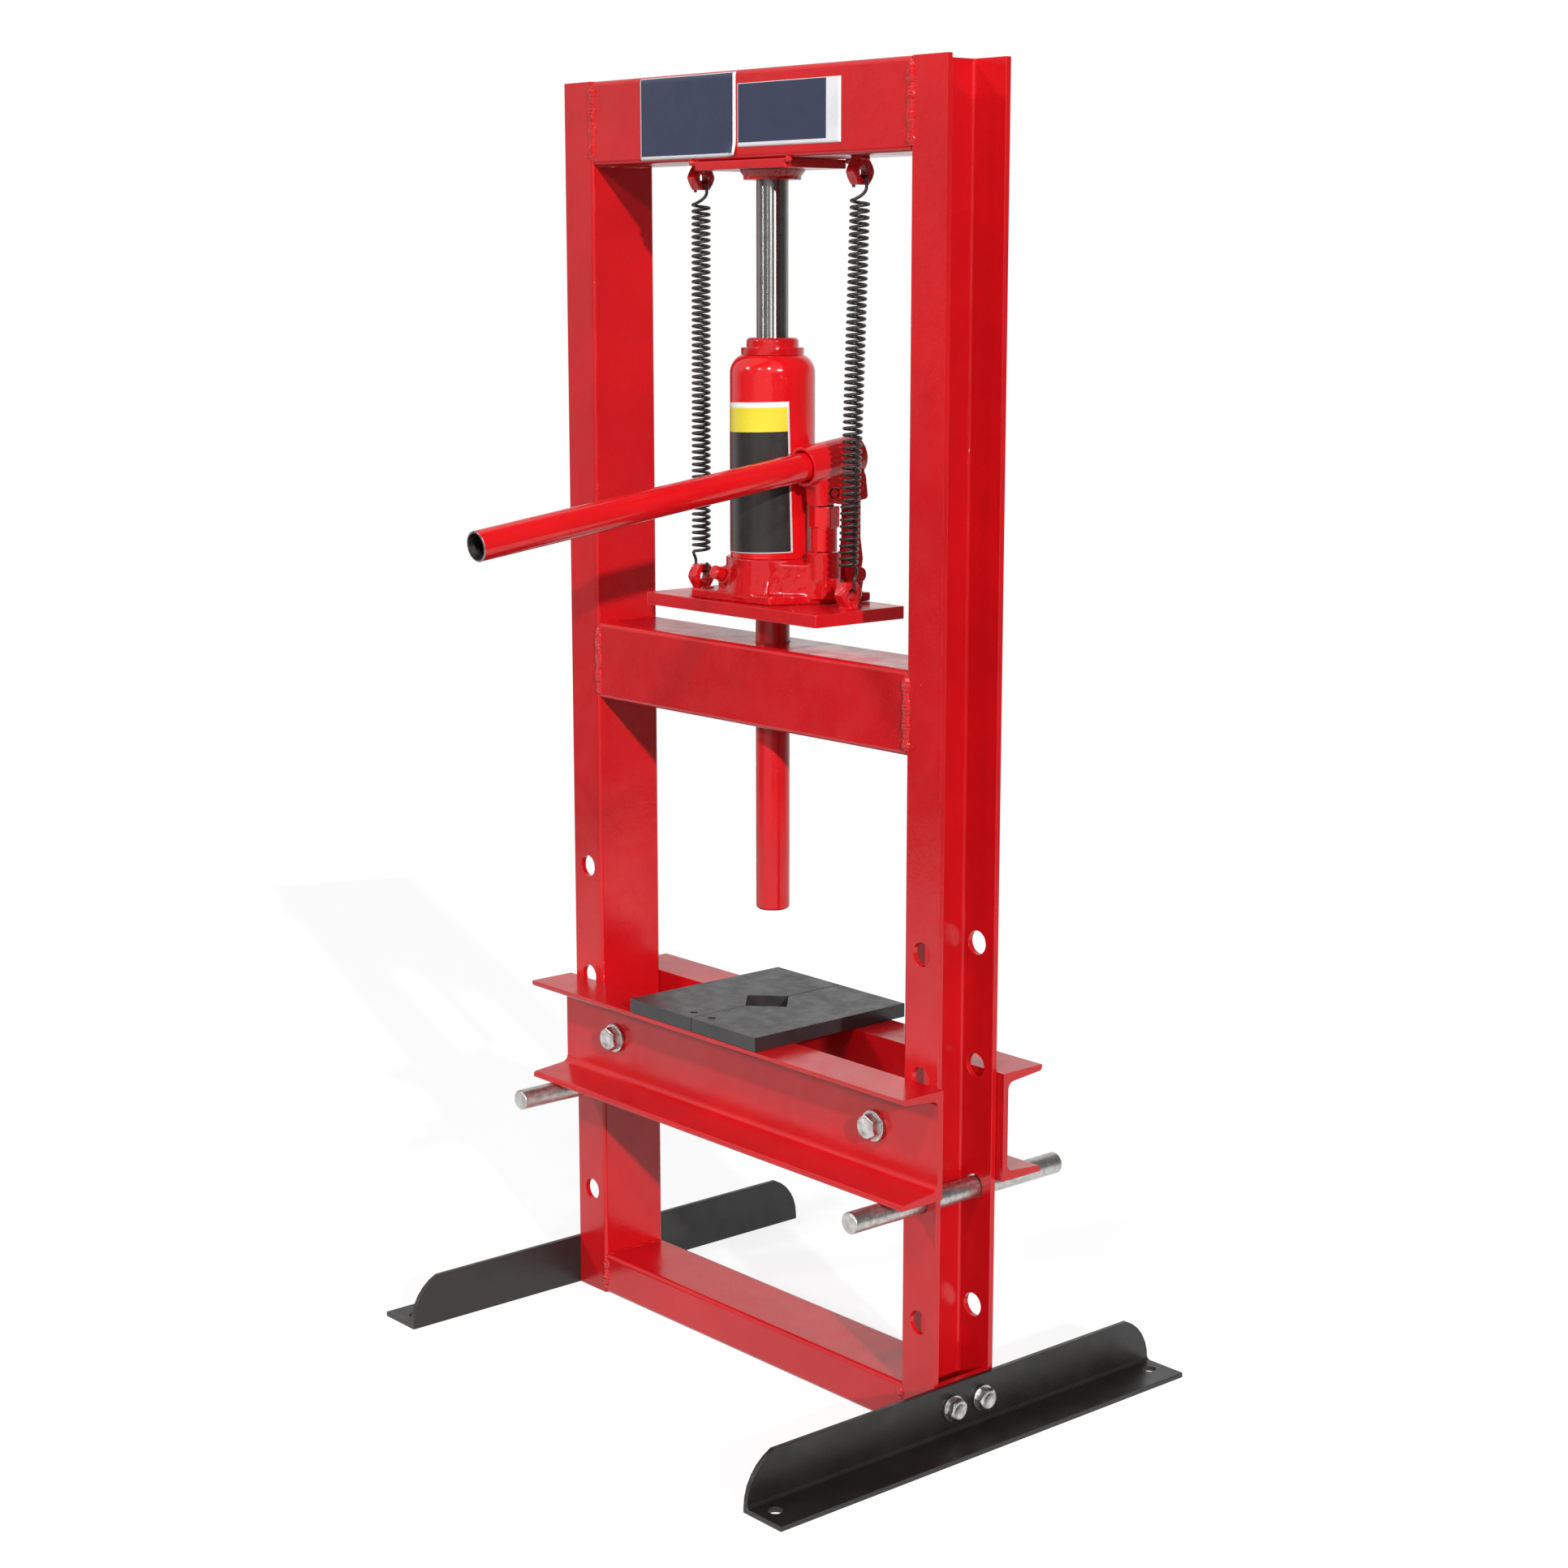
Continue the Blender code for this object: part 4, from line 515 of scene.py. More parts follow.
def printed_vinyl(name, colour, second):
    """Printed PVC film: smooth and even, with a satin laminate that lies in faint waves."""
    material, tree, shader, place = new_material(name)
    cloud = pattern(tree, place, 18 * MM)
    tree.links.new(blend_colours(tree, cloud, linear(colour), linear(second)), shader.inputs["Base Color"])
    tree.links.new(pattern(tree, place, 9 * MM, 0.26, 0.30), shader.inputs["Roughness"])
    shader.inputs["IOR"].default_value = 1.53
    raise_surface(tree, shader, (pattern(tree, place, 14 * MM), 0.02 * MM),
                  (pattern(tree, place, 1.5 * MM), 0.003 * MM))
    return material


white_film = printed_vinyl("white vinyl film", "#EFEFEF", "#E6E6EA")
blue_film = printed_vinyl("dark blue printed vinyl", "#2E3450", "#313753")
beam_low, beam_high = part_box("top_beam")


def sticker(name, x_range, z_range, margins, peel):
    """A film on the beam's face, its panel set in by margins (left, right, bottom, top)."""
    shape = bmesh.new()
    columns = sorted({x_range[0] + margins[0], x_range[1] - margins[1],
                      *(x_range[0] + (x_range[1] - x_range[0]) * i / STICKER_GRID
                        for i in range(STICKER_GRID + 1))})
    rows = sorted({z_range[0] + margins[2], z_range[1] - margins[3],
                   *(z_range[0] + (z_range[1] - z_range[0]) * i / STICKER_GRID
                     for i in range(STICKER_GRID + 1))})
    face = {}
    for i, x in enumerate(columns):
        for j, z in enumerate(rows):
            past = max(beam_low.z + BEAM_CORNER - z, z - beam_high.z + BEAM_CORNER, 0)
            y = beam_low.y + BEAM_CORNER - math.sqrt(BEAM_CORNER ** 2 - min(past, BEAM_CORNER * 0.9) ** 2)
            corner = max(0, 1 - math.hypot(x - x_range[1], z - z_range[0]) / PEEL_REACH)
            lift = peel * corner ** 2
            face[i, j] = shape.verts.new((x, y - FILM - lift, z + 0.4 * lift))
    for i in range(len(columns) - 1):
        for j in range(len(rows) - 1):
            quad = shape.faces.new((face[i, j], face[i + 1, j], face[i + 1, j + 1], face[i, j + 1]))
            x, z = quad.calc_center_median().x, quad.calc_center_median().z
            inside = (x_range[0] + margins[0] < x < x_range[1] - margins[1]
                      and z_range[0] + margins[2] < z < z_range[1] - margins[3])
            quad.material_index = int(inside)
    piece = make_piece(name, shape, white_film, "frame", 60)
    piece.data.materials.append(blue_film)
    film = piece.modifiers.new("film", "SOLIDIFY")
    film.thickness = FILM_BODY
    film.offset = 0
    return piece


sticker("blank_sticker_left", (-124.5 * MM, -6.2 * MM), (970.3 * MM, 1033.6 * MM),
        (1 * MM, 3.6 * MM, 2.8 * MM, 0.6 * MM), 2.6 * MM)
sticker("blank_sticker_right", (-4.1 * MM, 114.3 * MM), (977.2 * MM, 1024.5 * MM),
        (0.8 * MM, 16.4 * MM, 3.2 * MM, 0.4 * MM), 0)


# ---------------------------------------------------------------------------- feet
# Two lengths of angle iron with rounded ends, dipped in black enamel, each held to its
# upright by two zinc-plated M10 hexagon bolts through a plate let into the channel.

# its second colour lightens the edges: partly thinner paint, partly a painted highlight
black_enamel = sprayed_enamel("black alkyd enamel on angle iron", "#232120", "#45413E", "#1E1C1B",
                              0.12 * MM, (0.30, 0.42))


def zinc_plate(name, colour="#DAD8D5", rough=(0.24, 0.36)):
    """Bright zinc over forged or drawn steel: pale grey, a little cloudy, finely scratched."""
    material, tree, shader, place = new_material(name)
    cloud = pattern(tree, place, 5 * MM, 0.0, 0.8, 4.0)
    tree.links.new(blend_colours(tree, cloud, linear(colour), linear("#A6A6A4")), shader.inputs["Base Color"])
    shader.inputs["Metallic"].default_value = 1.0
    tree.links.new(pattern(tree, place, 2 * MM, *rough, 4.0), shader.inputs["Roughness"])
    raise_surface(tree, shader, (pattern(tree, place, 3 * MM), 0.012 * MM),
                  (pattern(tree, place, 0.6 * MM), 0.005 * MM))
    return material


zinc = zinc_plate("bright zinc on forged steel")


HEAD_DISH = 0.2 * MM                   # room for the raised rim of the dish in a bolt's head


def bolt_head(shape, seat, across_flats, height, axis, corner, steps=96):
    """A forged hexagon head: flats cut by a cone, a shallow dish on top."""
    turn = aimed(seat, axis)
    crown = 0.93 * across_flats / 2
    rings = []
    for kind in ("seat", "flat", "crown", "dish", "hollow"):
        ring = []
        for k in range(steps):
            angle = math.tau * k / steps
            reach = hexagon_reach(angle + corner, across_flats)
            radius, z = {"seat": (reach * 0.985, 0.0),
                         "flat": (reach, height - (reach - crown) * math.tan(math.radians(32))),
                         "crown": (crown, height),
                         "dish": (crown * 0.80, height + 0.15 * MM),
                         "hollow": (crown * 0.62, height - 0.35 * MM)}[kind]
            ring.append(shape.verts.new(ring_point(turn, radius, angle, z)))
        rings.append(ring)
    join_rings(shape, rings)


def fixing(name, nodes_replaced, head, nut, washer, shank, axis, body, corner):
    """A bolt with its washer and nut, each a piece of its own standing for its CAD node."""
    bolt_node, washer_node, nut_node = nodes_replaced
    shape = bmesh.new()
    bolt_head(shape, head[0], head[1], head[2], axis, corner)
    middle = (Vector(shank[0]) + Vector(shank[1])) / 2
    reach = (Vector(shank[1]) - Vector(shank[0])).length
    bmesh.ops.create_cone(shape, cap_ends=True, segments=48, radius1=shank[2], radius2=shank[2], depth=reach,
                          matrix=aimed(middle, axis))
    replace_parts(make_piece(f"{name}_bolt", shape, zinc, body, 30), bolt_node)
    shape = bmesh.new()
    forged_nut(shape, nut[0], head[1], nut[1], shank[2], axis, corner)
    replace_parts(make_piece(f"{name}_nut", shape, zinc, body, 30), nut_node)
    profile = [(shank[2], 0), (washer[1], 0), (washer[1], washer[2]), (shank[2], washer[2])]
    ring = turned_piece(f"{name}_washer", eased(profile, 0.35 * MM), zinc, body, washer[0], axis)
    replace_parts(ring, washer_node)


FOOT_HEAD_FLATS, FOOT_BOLT_RADIUS = 16 * MM, 5 * MM
for side, sign in (("left", -1), ("right", 1)):
    finish_node(f"foot_{side}", black_enamel, 0.7 * MM, 3)
    finish_node(f"foot_plate_{side}", frame_enamel, SAWN_EDGE)
    for place in ("front", "rear"):
        names = [f"foot_{part}_{side}_{place}" for part in ("bolt", "washer", "nut")]
        (bolt_low, bolt_high), (washer_low, washer_high), (nut_low, nut_high) = map(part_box, names)
        y, z = (bolt_low.y + bolt_high.y) / 2, (bolt_low.z + bolt_high.z) / 2
        inner, outer = (bolt_low.x, bolt_high.x) if sign > 0 else (bolt_high.x, bolt_low.x)
        washer_x = washer_low.x if sign > 0 else washer_high.x
        seat = washer_x + sign * (washer_high.x - washer_low.x)
        corner = draw.uniform(0, 1)
        fixing(f"foot_{side}_{place}", names,
               ((seat, y, z), FOOT_HEAD_FLATS, abs(outer - seat) - HEAD_DISH),
               (((nut_low.x + nut_high.x) / 2, y, z), nut_high.x - nut_low.x),
               ((washer_x, y, z), (washer_high.z - washer_low.z) / 2, washer_high.x - washer_low.x),
               ((inner, y, z), (seat, y, z), FOOT_BOLT_RADIUS), (sign, 0, 0), "frame", corner)


# ----------------------------------------------------------------------------- bed
# Two rolled channels with tapered flanges, back to back across the uprights, held apart by
# tube spacers and drawn together by two zinc-plated M12 bolts with broad washers.

BED_HEAD_FLATS, BED_BOLT_RADIUS = 18 * MM, 6 * MM
for channel in ("bed_channel_front", "bed_channel_rear"):
    finish_node(channel, frame_enamel, SAWN_EDGE)
for side in ("left", "right"):
    finish_node(f"bed_spacer_{side}", frame_enamel, SAWN_EDGE)
    names = [f"bed_{part}_{side}" for part in ("bolt", "washer", "nut")]
    (bolt_low, bolt_high), (washer_low, washer_high), (nut_low, nut_high) = map(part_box, names)
    x, z = (bolt_low.x + bolt_high.x) / 2, (bolt_low.z + bolt_high.z) / 2
    fixing(f"bed_{side}", names,
           ((x, washer_low.y, z), BED_HEAD_FLATS, washer_low.y - bolt_low.y - HEAD_DISH),
           ((x, (nut_low.y + nut_high.y) / 2, z), nut_high.y - nut_low.y),
           ((x, washer_high.y, z), (washer_high.z - washer_low.z) / 2, washer_high.y - washer_low.y),
           ((x, washer_low.y, z), (x, bolt_high.y, z), BED_BOLT_RADIUS), (0, -1, 0), "bed",
           draw.uniform(0, 1))


# -------------------------------------------------------------------- press plates
# Two notched plates of ground steel, blackened in hot oxide salts: near-black and satin,
# with bright nicks where their edges have been knocked.

def black_oxide(name):
    """Oxide on ground steel: fine scratches one way, a soft sheen, grey where it is rubbed."""
    material, tree, shader, place = new_material(name)
    cloud = pattern(tree, place, 30 * MM)
    base = blend_colours(tree, cloud, linear("#2E2D2F"), linear("#252426"))
    edges = edge_mask(tree, place, 0.9 * MM, 0.6)
    tree.links.new(blend_colours(tree, edges, base, linear("#6E6A68")), shader.inputs["Base Color"])
    shader.inputs["Metallic"].default_value = 0.0
    shader.inputs["IOR"].default_value = 1.6
    stretch = add_node(tree, "Mapping", {"Vector": place, "Scale": (1.0, 0.04, 1.0)})
    scratches = pattern(tree, stretch.outputs[0], 0.7 * MM, 0.0, 1.0, 3.0)
    tree.links.new(pattern(tree, place, 12 * MM, 0.34, 0.46), shader.inputs["Roughness"])
    raise_surface(tree, shader, (pattern(tree, place, 20 * MM), 0.05 * MM), (scratches, 0.006 * MM))
    return material


oxide = black_oxide("black oxide on ground steel")
for side in ("left", "right"):
    finish_node(f"press_plate_{side}", oxide, 0.5 * MM)


# -------------------------------------------------------------------- support pins
# Two loose 17 mm bars that carry the bed: cold-drawn steel, faced and chamfered, then zinc
# plated. Drawing leaves faint lines along them.

PIN_CHAMFER = 1.2 * MM
drawn_zinc = zinc_plate("bright zinc on drawn bar", "#D2CFCB", (0.34, 0.44))
for side in ("left", "right"):
    low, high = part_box(f"support_pin_{side}")
    radius = (high.x - low.x) / 2
    length = high.y - low.y
    profile = [(0, 0), (radius - PIN_CHAMFER, 0), (radius, PIN_CHAMFER), (radius, length - PIN_CHAMFER),
               (radius - PIN_CHAMFER, length), (0, length)]
    pin = turned_piece(f"bed_pin_{side}", eased(profile, 0.5 * MM), drawn_zinc, f"support_pin_{side}",
                       ((low.x + high.x) / 2, low.y, (low.z + high.z) / 2), (0, 1, 0))
    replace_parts(pin, f"support_pin_{side}")


# ----------------------------------------------------------------------------- ram
# The jack's ram and piston in one piece: ground steel under hard chrome. It mirrors the
# room in long upright streaks.

def hard_chrome(name):
    """Chrome on a ground rod: bright, slightly grey, with hair-fine rings left by the wheel."""
    material, tree, shader, place = new_material(name)
    cloud = pattern(tree, place, 15 * MM)
    grey = blend_colours(tree, cloud, linear("#8E8E8D"), linear("#848381"))
    tree.links.new(grey, shader.inputs["Base Color"])
    shader.inputs["Metallic"].default_value = 1.0
    tree.links.new(pattern(tree, place, 14 * MM, 0.25, 0.28), shader.inputs["Roughness"])
    shader.inputs["Anisotropic"].default_value = 0.95
    shader.inputs["Anisotropic Rotation"].default_value = 0.25     # the grinding runs round the rod
    tangent = add_node(tree, "Tangent", direction_type="RADIAL", axis="Z")
    tree.links.new(tangent.outputs[0], shader.inputs["Tangent"])
    rings = add_node(tree, "Mapping", {"Vector": place, "Scale": (0.002, 0.002, 1.0)})
    raise_surface(tree, shader, (pattern(tree, rings.outputs[0], 4 * MM), 0.0003 * MM))
    return material


chrome = hard_chrome("hard chrome on ground steel")
PISTON_HEIGHT, RAM_CHAMFER = 12 * MM, 1 * MM
profile = [(0, ram_low.z), (ram_high.x, ram_low.z), (ram_high.x, ram_low.z + PISTON_HEIGHT),
           (RAM_RADIUS, ram_low.z + PISTON_HEIGHT), (RAM_RADIUS, ram_high.z - RAM_CHAMFER),
           (RAM_RADIUS - RAM_CHAMFER, ram_high.z), (0, ram_high.z)]
ram = turned_piece("chromed_ram", eased(profile, 0.4 * MM), chrome, "frame", steps=128)
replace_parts(ram, "ram_rod")


# ---------------------------------------------------------------- plate and arbor
# The flat plate that the jack stands on, the round bar below it that does the pressing, and
# the two nuts for the springs' lower ends, welded in place and painted with the frame.

ARBOR_CHAMFER = 1.5 * MM
PLATE_TACK = 2.8 * MM
finish_node("jack_plate", frame_enamel, SAWN_EDGE)
low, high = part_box("arbor")
profile = [(0, low.z), (high.x - ARBOR_CHAMFER, low.z), (high.x, low.z + ARBOR_CHAMFER), (high.x, high.z),
           (0, high.z)]
arbor = turned_piece("press_arbor", eased(profile, 0.5 * MM), frame_enamel, "carriage")
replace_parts(arbor, "arbor")
tacks = bmesh.new()
for nut in ("lower_nut_left", "lower_nut_right"):
    low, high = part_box(nut)
    shape = bmesh.new()
    forged_nut(shape, (low + high) / 2, SPRING_NUT_FLATS, high.x - low.x, SPRING_NUT_BORE, (1, 0, 0))
    welded = make_piece(f"spring_{nut}", shape, weld_enamel, "carriage", 28)
    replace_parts(welded, nut)
    for face_y in NUT_TACKS:
        tack_z = low.z + 0.8 * MM
        weld_bead(tacks, (low.x - TACK_OVERRUN, face_y, tack_z), (high.x + TACK_OVERRUN, face_y, tack_z),
                  PLATE_TACK, draw)
make_piece("weld_carriage", tacks, weld_enamel, "carriage", 60)


# ----------------------------------------------------------------------- cast base
# The jack's foot: one iron casting with the collar for the reservoir, the pump's boss, two
# ears for the link and the boss of the release valve. Sand-cast, fettled, thickly painted.

CASTING_GRAIN = 0.8 * MM
# the second colour of each lightens the edges: partly thinner paint, partly a painted highlight
jack_enamel = sprayed_enamel("red enamel on jack", "#E0141A", "#EE4A40", "#D01016", 0.05 * MM, (0.09, 0.17))
casting_enamel = sprayed_enamel("red enamel on sand casting", "#CE1017", "#EE4A40", "#BA0C13", 0.70 * MM,
                                (0.07, 0.13), 0.10 * MM)


def cast_piece(node, name, material, body, grain, rounds):
    """A copy of a CAD node with its corners run together, as a mould leaves them."""
    shape = bmesh.new()
    shape.from_mesh(nodes[node].data)
    bmesh.ops.remove_doubles(shape, verts=shape.verts, dist=1e-6)
    piece = make_piece(name, shape, material, body, 180)
    remesh = piece.modifiers.new("sand", "REMESH")
    remesh.mode = "VOXEL"
    remesh.voxel_size = grain
    remesh.use_smooth_shade = True
    soften = piece.modifiers.new("corners", "SMOOTH")
    soften.factor = 0.5
    soften.iterations = rounds
    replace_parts(piece, node)
    return piece


cast_piece("jack_base", "cast_base", casting_enamel, "carriage", CASTING_GRAIN, 6)


# ----------------------------------------------------------------- reservoir and gland
# The jack's outer tube with its spun shoulder, and the gland nut and ring that close it round
# the ram. The printed label round its front is left blank.

low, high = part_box("reservoir")
RESERVOIR_RADIUS = high.x
SHOULDER, SHOULDER_ROUND = 14 * MM, 16 * MM    # its height, and the radius of its round
TUBE_WALL = 2.5 * MM
gland_low, gland_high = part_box("gland_nut")
MOUTH_RADIUS = 20 * MM
steepest = math.asin(SHOULDER / SHOULDER_ROUND)
shoulder = [(RESERVOIR_RADIUS - SHOULDER_ROUND * (1 - math.cos(steepest * i / 14)),
             high.z - SHOULDER + SHOULDER_ROUND * math.sin(steepest * i / 14)) for i in range(14, -1, -1)]
inner = RESERVOIR_RADIUS - TUBE_WALL
profile = [(MOUTH_RADIUS, high.z)] + shoulder
profile += [(RESERVOIR_RADIUS, low.z), (inner, low.z), (inner, high.z - SHOULDER),
            (shoulder[0][0] - TUBE_WALL, high.z - TUBE_WALL), (MOUTH_RADIUS, high.z - TUBE_WALL)]
tube = turned_piece("oil_reservoir", profile, jack_enamel, "carriage", steps=128)
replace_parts(tube, "reservoir")

GLAND_RADIUS, GLAND_THREAD, GLAND_CHAMFER = 20.5 * MM, 19.1 * MM, 1.8 * MM
RING_STEP, RING_GAP = 7.5 * MM, 0.3 * MM   # down from the gland's top, and up from the tube's
bore = RAM_RADIUS + RAM_PLAY
profile = [(bore, gland_low.z), (GLAND_THREAD, gland_low.z), (GLAND_THREAD, high.z + RING_GAP),
           (gland_high.x, high.z + RING_GAP), (gland_high.x, gland_high.z - RING_STEP),
           (GLAND_RADIUS, gland_high.z - RING_STEP), (GLAND_RADIUS, gland_high.z - GLAND_CHAMFER),
           (GLAND_RADIUS - GLAND_CHAMFER, gland_high.z), (bore, gland_high.z)]
gland = turned_piece("gland_and_ring", eased(profile, 0.7 * MM), casting_enamel, "carriage")
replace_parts(gland, "gland_nut")


def bare_steel(name, colour="#8C8A87", rough=(0.25, 0.42)):
    """Machined steel, oiled and bare: grey, cloudy, finely scored."""
    material, tree, shader, place = new_material(name)
    cloud = pattern(tree, place, 8 * MM, 0.0, 1.0, 4.0)
    tree.links.new(blend_colours(tree, cloud, linear(colour), linear("#6A6866")), shader.inputs["Base Color"])
    shader.inputs["Metallic"].default_value = 1.0
    tree.links.new(pattern(tree, place, 3 * MM, *rough), shader.inputs["Roughness"])
    raise_surface(tree, shader, (pattern(tree, place, 0.8 * MM), 0.01 * MM))
    return material


steel = bare_steel("machined bare steel")
finish_node("pressure_cylinder", steel, 0.4 * MM)

LABEL_FOOT, LABEL_TOP = 667.5 * MM, 784.6 * MM
LABEL_LEAN = math.tan(math.radians(1.6))    # it was put on slightly crooked
LABEL_HALF_TURN = 72                   # degrees each way from the front
LABEL_BORDER, FOOT_BORDER = 1.7 * MM, 0.8 * MM
BLACK_TOP, YELLOW_TOP = LABEL_TOP - 22.9 * MM, LABEL_TOP - 4.2 * MM
yellow_film = printed_vinyl("yellow printed vinyl", "#F2E23C", "#ECDB38")
black_film = printed_vinyl("black printed vinyl", "#2A2725", "#2C2927")
bands = ((LABEL_FOOT + FOOT_BORDER, BLACK_TOP, 2), (BLACK_TOP, YELLOW_TOP, 1))   # foot, top, material
border_turn = math.degrees(LABEL_BORDER / RESERVOIR_RADIUS)
turns = sorted({-LABEL_HALF_TURN + border_turn, LABEL_HALF_TURN - border_turn,
                *range(-LABEL_HALF_TURN, LABEL_HALF_TURN + 1, 3)})
levels = sorted({LABEL_FOOT, LABEL_TOP, *(level for band in bands for level in band[:2])})
shape = bmesh.new()
grid = []
for turn in turns:
    grid.append([])
    for level in levels:
        crooked = math.radians(turn) + LABEL_LEAN * (LABEL_TOP - level) / RESERVOIR_RADIUS
        rise = LABEL_LEAN * RESERVOIR_RADIUS * math.radians(turn - LABEL_HALF_TURN)
        grid[-1].append(shape.verts.new(((RESERVOIR_RADIUS + FILM) * math.sin(crooked),
                                         -(RESERVOIR_RADIUS + FILM) * math.cos(crooked), level + rise)))
for i in range(len(turns) - 1):
    for j in range(len(levels) - 1):
        quad = shape.faces.new((grid[i][j], grid[i + 1][j], grid[i + 1][j + 1], grid[i][j + 1]))
        turn, level = (turns[i] + turns[i + 1]) / 2, (levels[j] + levels[j + 1]) / 2
        inks = [ink for foot, top, ink in bands if foot < level < top]
        quad.material_index = inks[0] if inks and abs(turn) < LABEL_HALF_TURN - border_turn else 0
label = make_piece("blank_jack_label", shape, white_film, "carriage", 60)
label.data.materials.append(yellow_film)
label.data.materials.append(black_film)
film = label.modifiers.new("film", "SOLIDIFY")
film.thickness = FILM_BODY
film.offset = 0


# ---------------------------------------------------------------------------- pump
# The pump's barrel and hexagon screwed into the base, the plunger in it, and the forged link
# with its pins. Painted over after assembly, so every corner is soft.

for node, name, body, grain, rounds in (("pump_cylinder", "pump_barrel", "carriage", 0.5 * MM, 4),
                                        ("link_foot_pin", "link_lower_pin", "carriage", 0.4 * MM, 3),
                                        ("link", "rocking_link", "link", 0.5 * MM, 4)):
    cast_piece(node, name, jack_enamel, body, grain, rounds)
plunger = finish_node("plunger", steel, 0.3 * MM)
plunger.data.materials.append(jack_enamel)                 # paint over the ends of its cross pin
across = [v.co.x for v in plunger.data.vertices]
middle, half = (min(across) + max(across)) / 2, (max(across) - min(across)) / 2
for face in plunger.data.polygons:
    face.material_index = int(abs(face.center.x - middle) > 0.9 * half)


# -------------------------------------------------------------------- handle socket
# A forged socket that rocks on the link and works the plunger, with a mouth rolled round the
# handle. Painted with the jack.

cast_piece("handle_socket", "forged_socket", jack_enamel, "handle_socket", 0.55 * MM, 5)


# -------------------------------------------------------------------------- handle
# A length of drawn tube, painted outside only: the sawn end shows a bright rim round a
# dull grey bore.

RIM = 0.5 * MM
HANDLE_WALL = 1.6 * MM
handle = nodes["handle"]
corners = [v.co for v in handle.data.vertices]
front_y, rear_y = min(c.y for c in corners), max(c.y for c in corners)
front_face = [c for c in corners if c.y < front_y + 4 * MM]
rear_face = [c for c in corners if c.y > rear_y - 4 * MM]
start = sum(front_face, Vector()) / len(front_face)
finish = sum(rear_face, Vector()) / len(rear_face)
HANDLE_RADIUS = (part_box("handle")[1].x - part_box("handle")[0].x) / 2
HANDLE_BORE = HANDLE_RADIUS - HANDLE_WALL
length = (finish - start).length
skin = [(HANDLE_BORE, 0), (HANDLE_RADIUS - RIM, 0), (HANDLE_RADIUS, RIM), (HANDLE_RADIUS, length - RIM),
        (HANDLE_RADIUS - RIM, length), (HANDLE_BORE, length)]
tube = turned_piece("pump_handle", eased(skin, 0.3 * MM), jack_enamel, "handle",
                    start, finish - start)
tube.data.materials.append(bare_steel("sawn steel rim", "#B5B2AE", (0.22, 0.34)))
tube.data.materials.append(bare_steel("dull bore of drawn tube", "#5A5856", (0.45, 0.6)))
along = (finish - start).normalized()
for face in tube.data.polygons:
    from_start = face.center - start
    reach = from_start.dot(along)
    radius = (from_start - along * reach).length
    at_end = reach < 0.9 * RIM or reach > length - 0.9 * RIM
    face.material_index = 2 if radius < HANDLE_BORE + 0.02 * MM and not at_end else int(at_end)
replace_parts(tube, "handle")


# ------------------------------------------------------------------- release valve
# The valve's screw at the front of the base, with a stubby knob turned by the handle's end.

KNOB_LENGTH = 10 * MM
KNOB_RADIUS, STEM_RADIUS = 5.3 * MM, 3.5 * MM
KNOB_CHAMFER = 1.2 * MM
turning = next(j for j in frame["joints"] if j["name"] == "release_valve_turn")
inward = -Vector(turning["axis"]).normalized()
corners = [v.co for v in nodes["release_valve"].data.vertices]
start = min(corners, key=lambda c: c.dot(inward)).dot(inward)
length = max(corners, key=lambda c: c.dot(inward)).dot(inward) - start
centre = sum(corners, Vector()) / len(corners)
centre += inward * (start - centre.dot(inward))
knob_foot = KNOB_LENGTH - 0.3 * MM
profile = [(0, 0), (KNOB_RADIUS - KNOB_CHAMFER, 0), (KNOB_RADIUS, KNOB_CHAMFER), (KNOB_RADIUS, knob_foot),
           (STEM_RADIUS, knob_foot), (STEM_RADIUS, length), (0, length)]
knob = turned_piece("valve_knob", eased(profile, 0.8 * MM), jack_enamel, "release_valve",
                    centre, inward)
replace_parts(knob, "release_valve")


# ------------------------------------------------------------------- return springs
# Two long extension springs of blackened music wire, hooked through the nuts. They draw the
# jack and arbor up again.

COIL_TURNS = 55
COIL_RADIUS, WIRE_RADIUS = 6.6 * MM, 1.25 * MM
LEAD = 5 * MM                          # how gently the wire turns from a hook into the coil
COIL_TO_NUT = 20.5 * MM
STEPS_PER_TURN = 20
NUT_HALF = 5 * MM                      # half of its length along the hole
HOOK_PLAY, HOOK_GAP = 0.3 * MM, 0.9 * MM   # from the wire to the hole, and to the nut's face
HOOK_DEPTH, HOOK_BEND = 7.5 * MM, 2.2 * MM


def music_wire(name):
    """Patented wire with a black oil temper: dark, smooth, with small sharp glints."""
    material, tree, shader, place = new_material(name)
    cloud = pattern(tree, place, 4 * MM)
    black = blend_colours(tree, cloud, linear("#2F2C2A"), linear("#242220"))
    tree.links.new(black, shader.inputs["Base Color"])
    shader.inputs["Metallic"].default_value = 0.0
    shader.inputs["IOR"].default_value = 1.5
    tree.links.new(pattern(tree, place, 3 * MM, 0.26, 0.40), shader.inputs["Roughness"])
    raise_surface(tree, shader, (pattern(tree, place, 0.7 * MM), 0.01 * MM))
    return material


def hook_points(side_x, sign):
    """The wire through a nut, from its cut end round to the coil's side, as (x, depth)."""
    bend = [(-side_x + HOOK_BEND * (1 - math.sin(a)), HOOK_BEND * (1 - math.cos(a)))
            for a in (math.radians(90 - 18 * i) for i in range(6))]
    end = [(-side_x, HOOK_DEPTH), (-side_x, 0.6 * HOOK_DEPTH)] + bend
    return [(x * sign, depth) for x, depth in end + [(-x, depth) for x, depth in reversed(end)]]


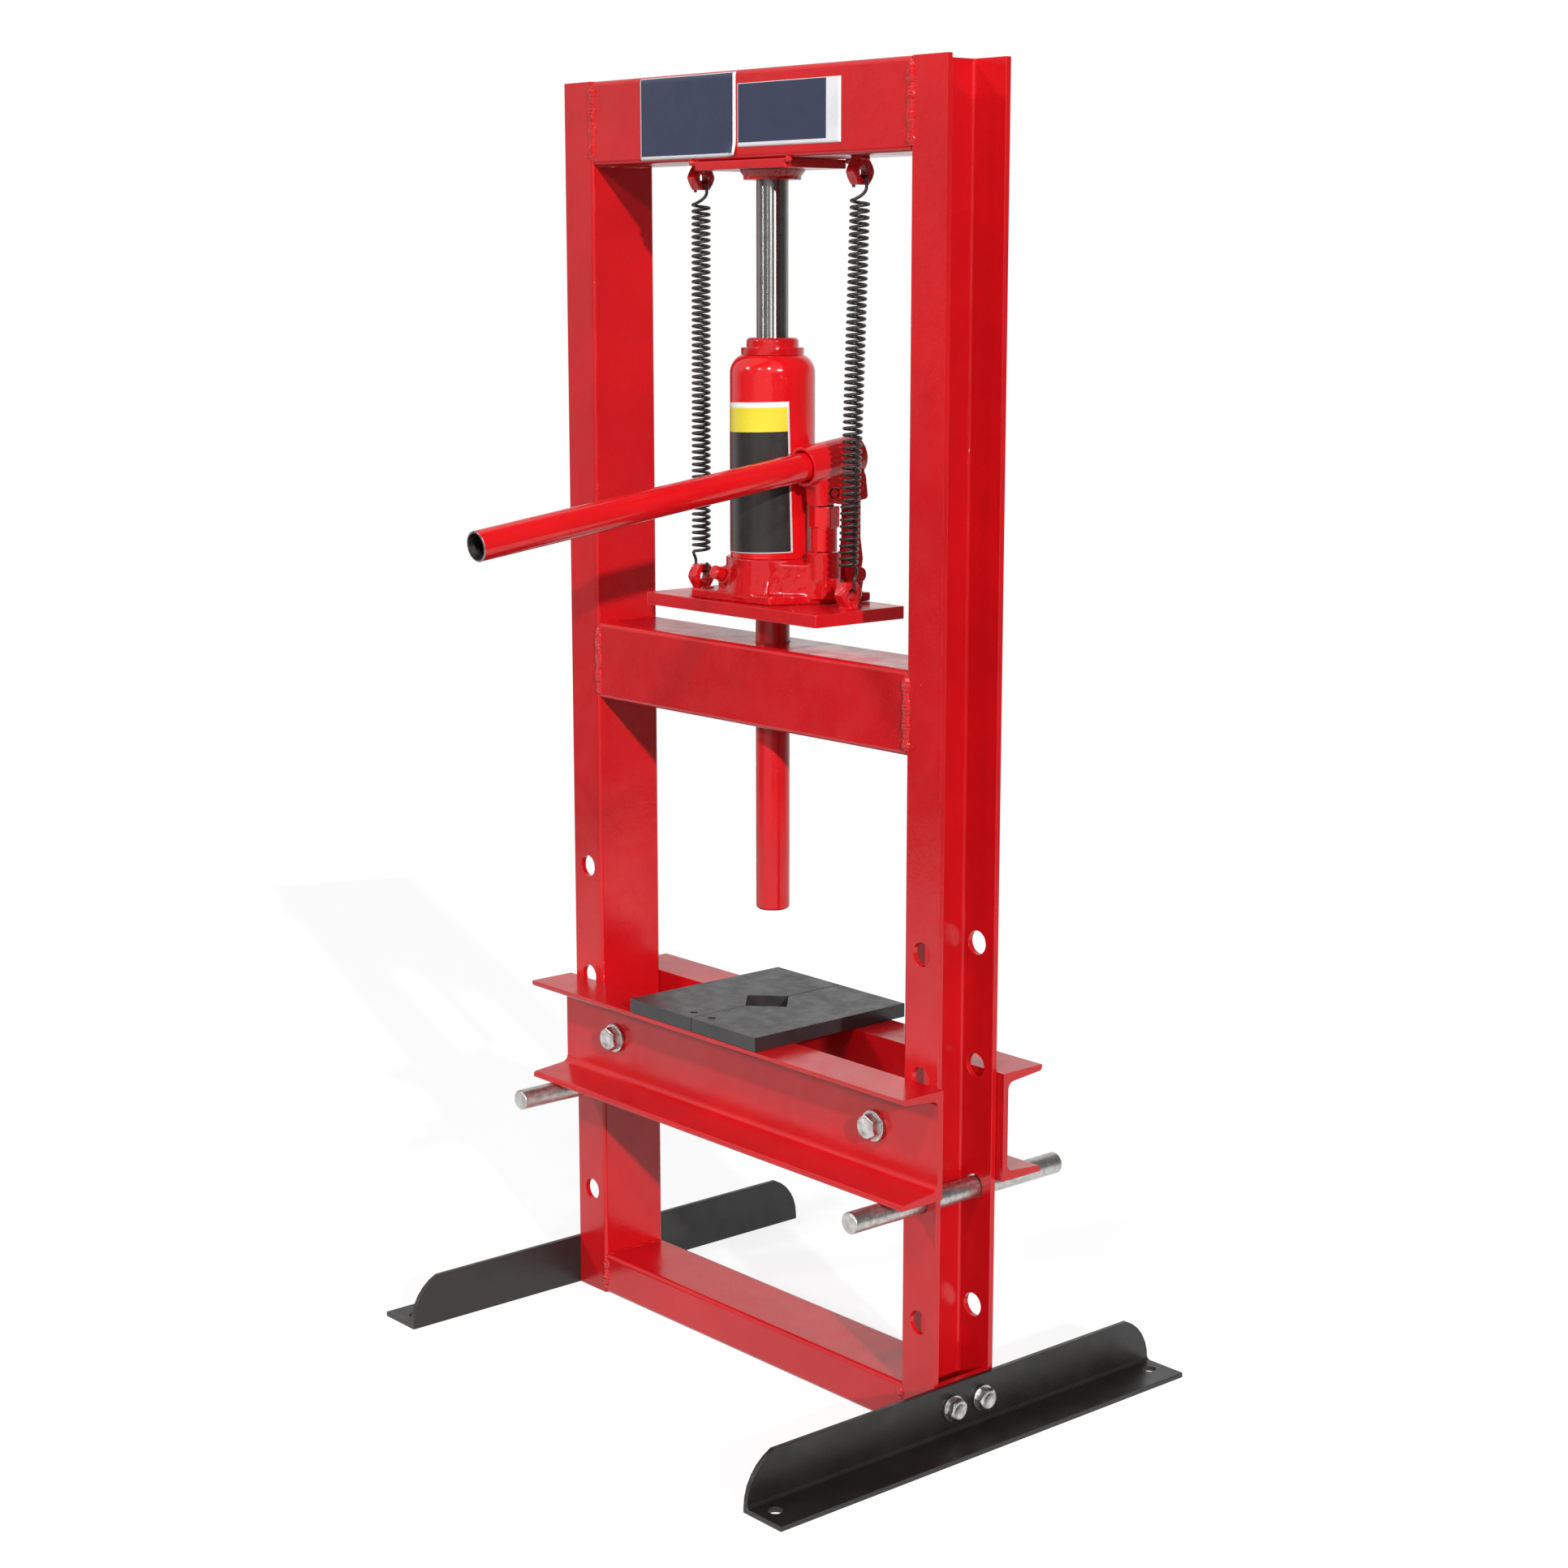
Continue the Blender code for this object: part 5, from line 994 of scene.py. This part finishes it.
wire = music_wire("oil-tempered music wire")
for side, foot_side in (("left", -1), ("right", 1)):
    top_low, top_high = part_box(f"upper_nut_{side}")
    foot_low, foot_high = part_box(f"lower_nut_{side}")
    top, foot = (top_low + top_high) / 2, (foot_low + foot_high) / 2
    coil_top, coil_foot = top - Vector((0, 0, COIL_TO_NUT)), foot + Vector((0, 0, COIL_TO_NUT))
    seat = SPRING_NUT_BORE - WIRE_RADIUS - HOOK_PLAY
    side_x = NUT_HALF + WIRE_RADIUS + HOOK_GAP
    path = [top + Vector((x, 0, -seat - depth)) for x, depth in hook_points(side_x, 1)]
    foot_hook = [foot + Vector((x, 0, seat + depth)) for x, depth in reversed(hook_points(side_x, foot_side))]
    turns = COIL_TURNS + (0.5 if foot_side > 0 else 0)
    count = int(turns * STEPS_PER_TURN)
    coil = []
    for i in range(count + 1):
        angle = -math.pi / 2 - math.tau * i / STEPS_PER_TURN
        centre = coil_top.lerp(coil_foot, i / count)
        coil.append(centre + COIL_RADIUS * Vector((math.cos(angle), math.sin(angle), 0)))
    drop = Vector((0, 0, -LEAD))
    into = Vector((LEAD, 0, 0.3 * LEAD))
    out = Vector((LEAD * foot_side, 0, -0.3 * LEAD))
    path += interpolate_bezier(path[-1], path[-1] + drop, coil[0] + into, coil[0], 12)[1:-1]
    path += coil
    path += interpolate_bezier(coil[-1], coil[-1] + out, foot_hook[0] - drop, foot_hook[0], 12)[1:-1]
    path += foot_hook
    shape = bmesh.new()
    rings, across = [], None
    for i, point in enumerate(path):
        ahead = (path[min(i + 1, len(path) - 1)] - path[max(i - 1, 0)]).normalized()
        across = ahead.orthogonal() if across is None else across - ahead * across.dot(ahead)
        across.normalize()
        up = ahead.cross(across)
        rings.append([shape.verts.new(point + WIRE_RADIUS * (math.cos(a) * across + math.sin(a) * up))
                      for a in (math.tau * k / 10 for k in range(10))])
    join_rings(shape, rings)
    spring = make_piece(f"return_spring_{side}", shape, wire, "frame", 60)
    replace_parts(spring, f"spring_{side}")
    reach = top.z - foot.z
    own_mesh(spring)
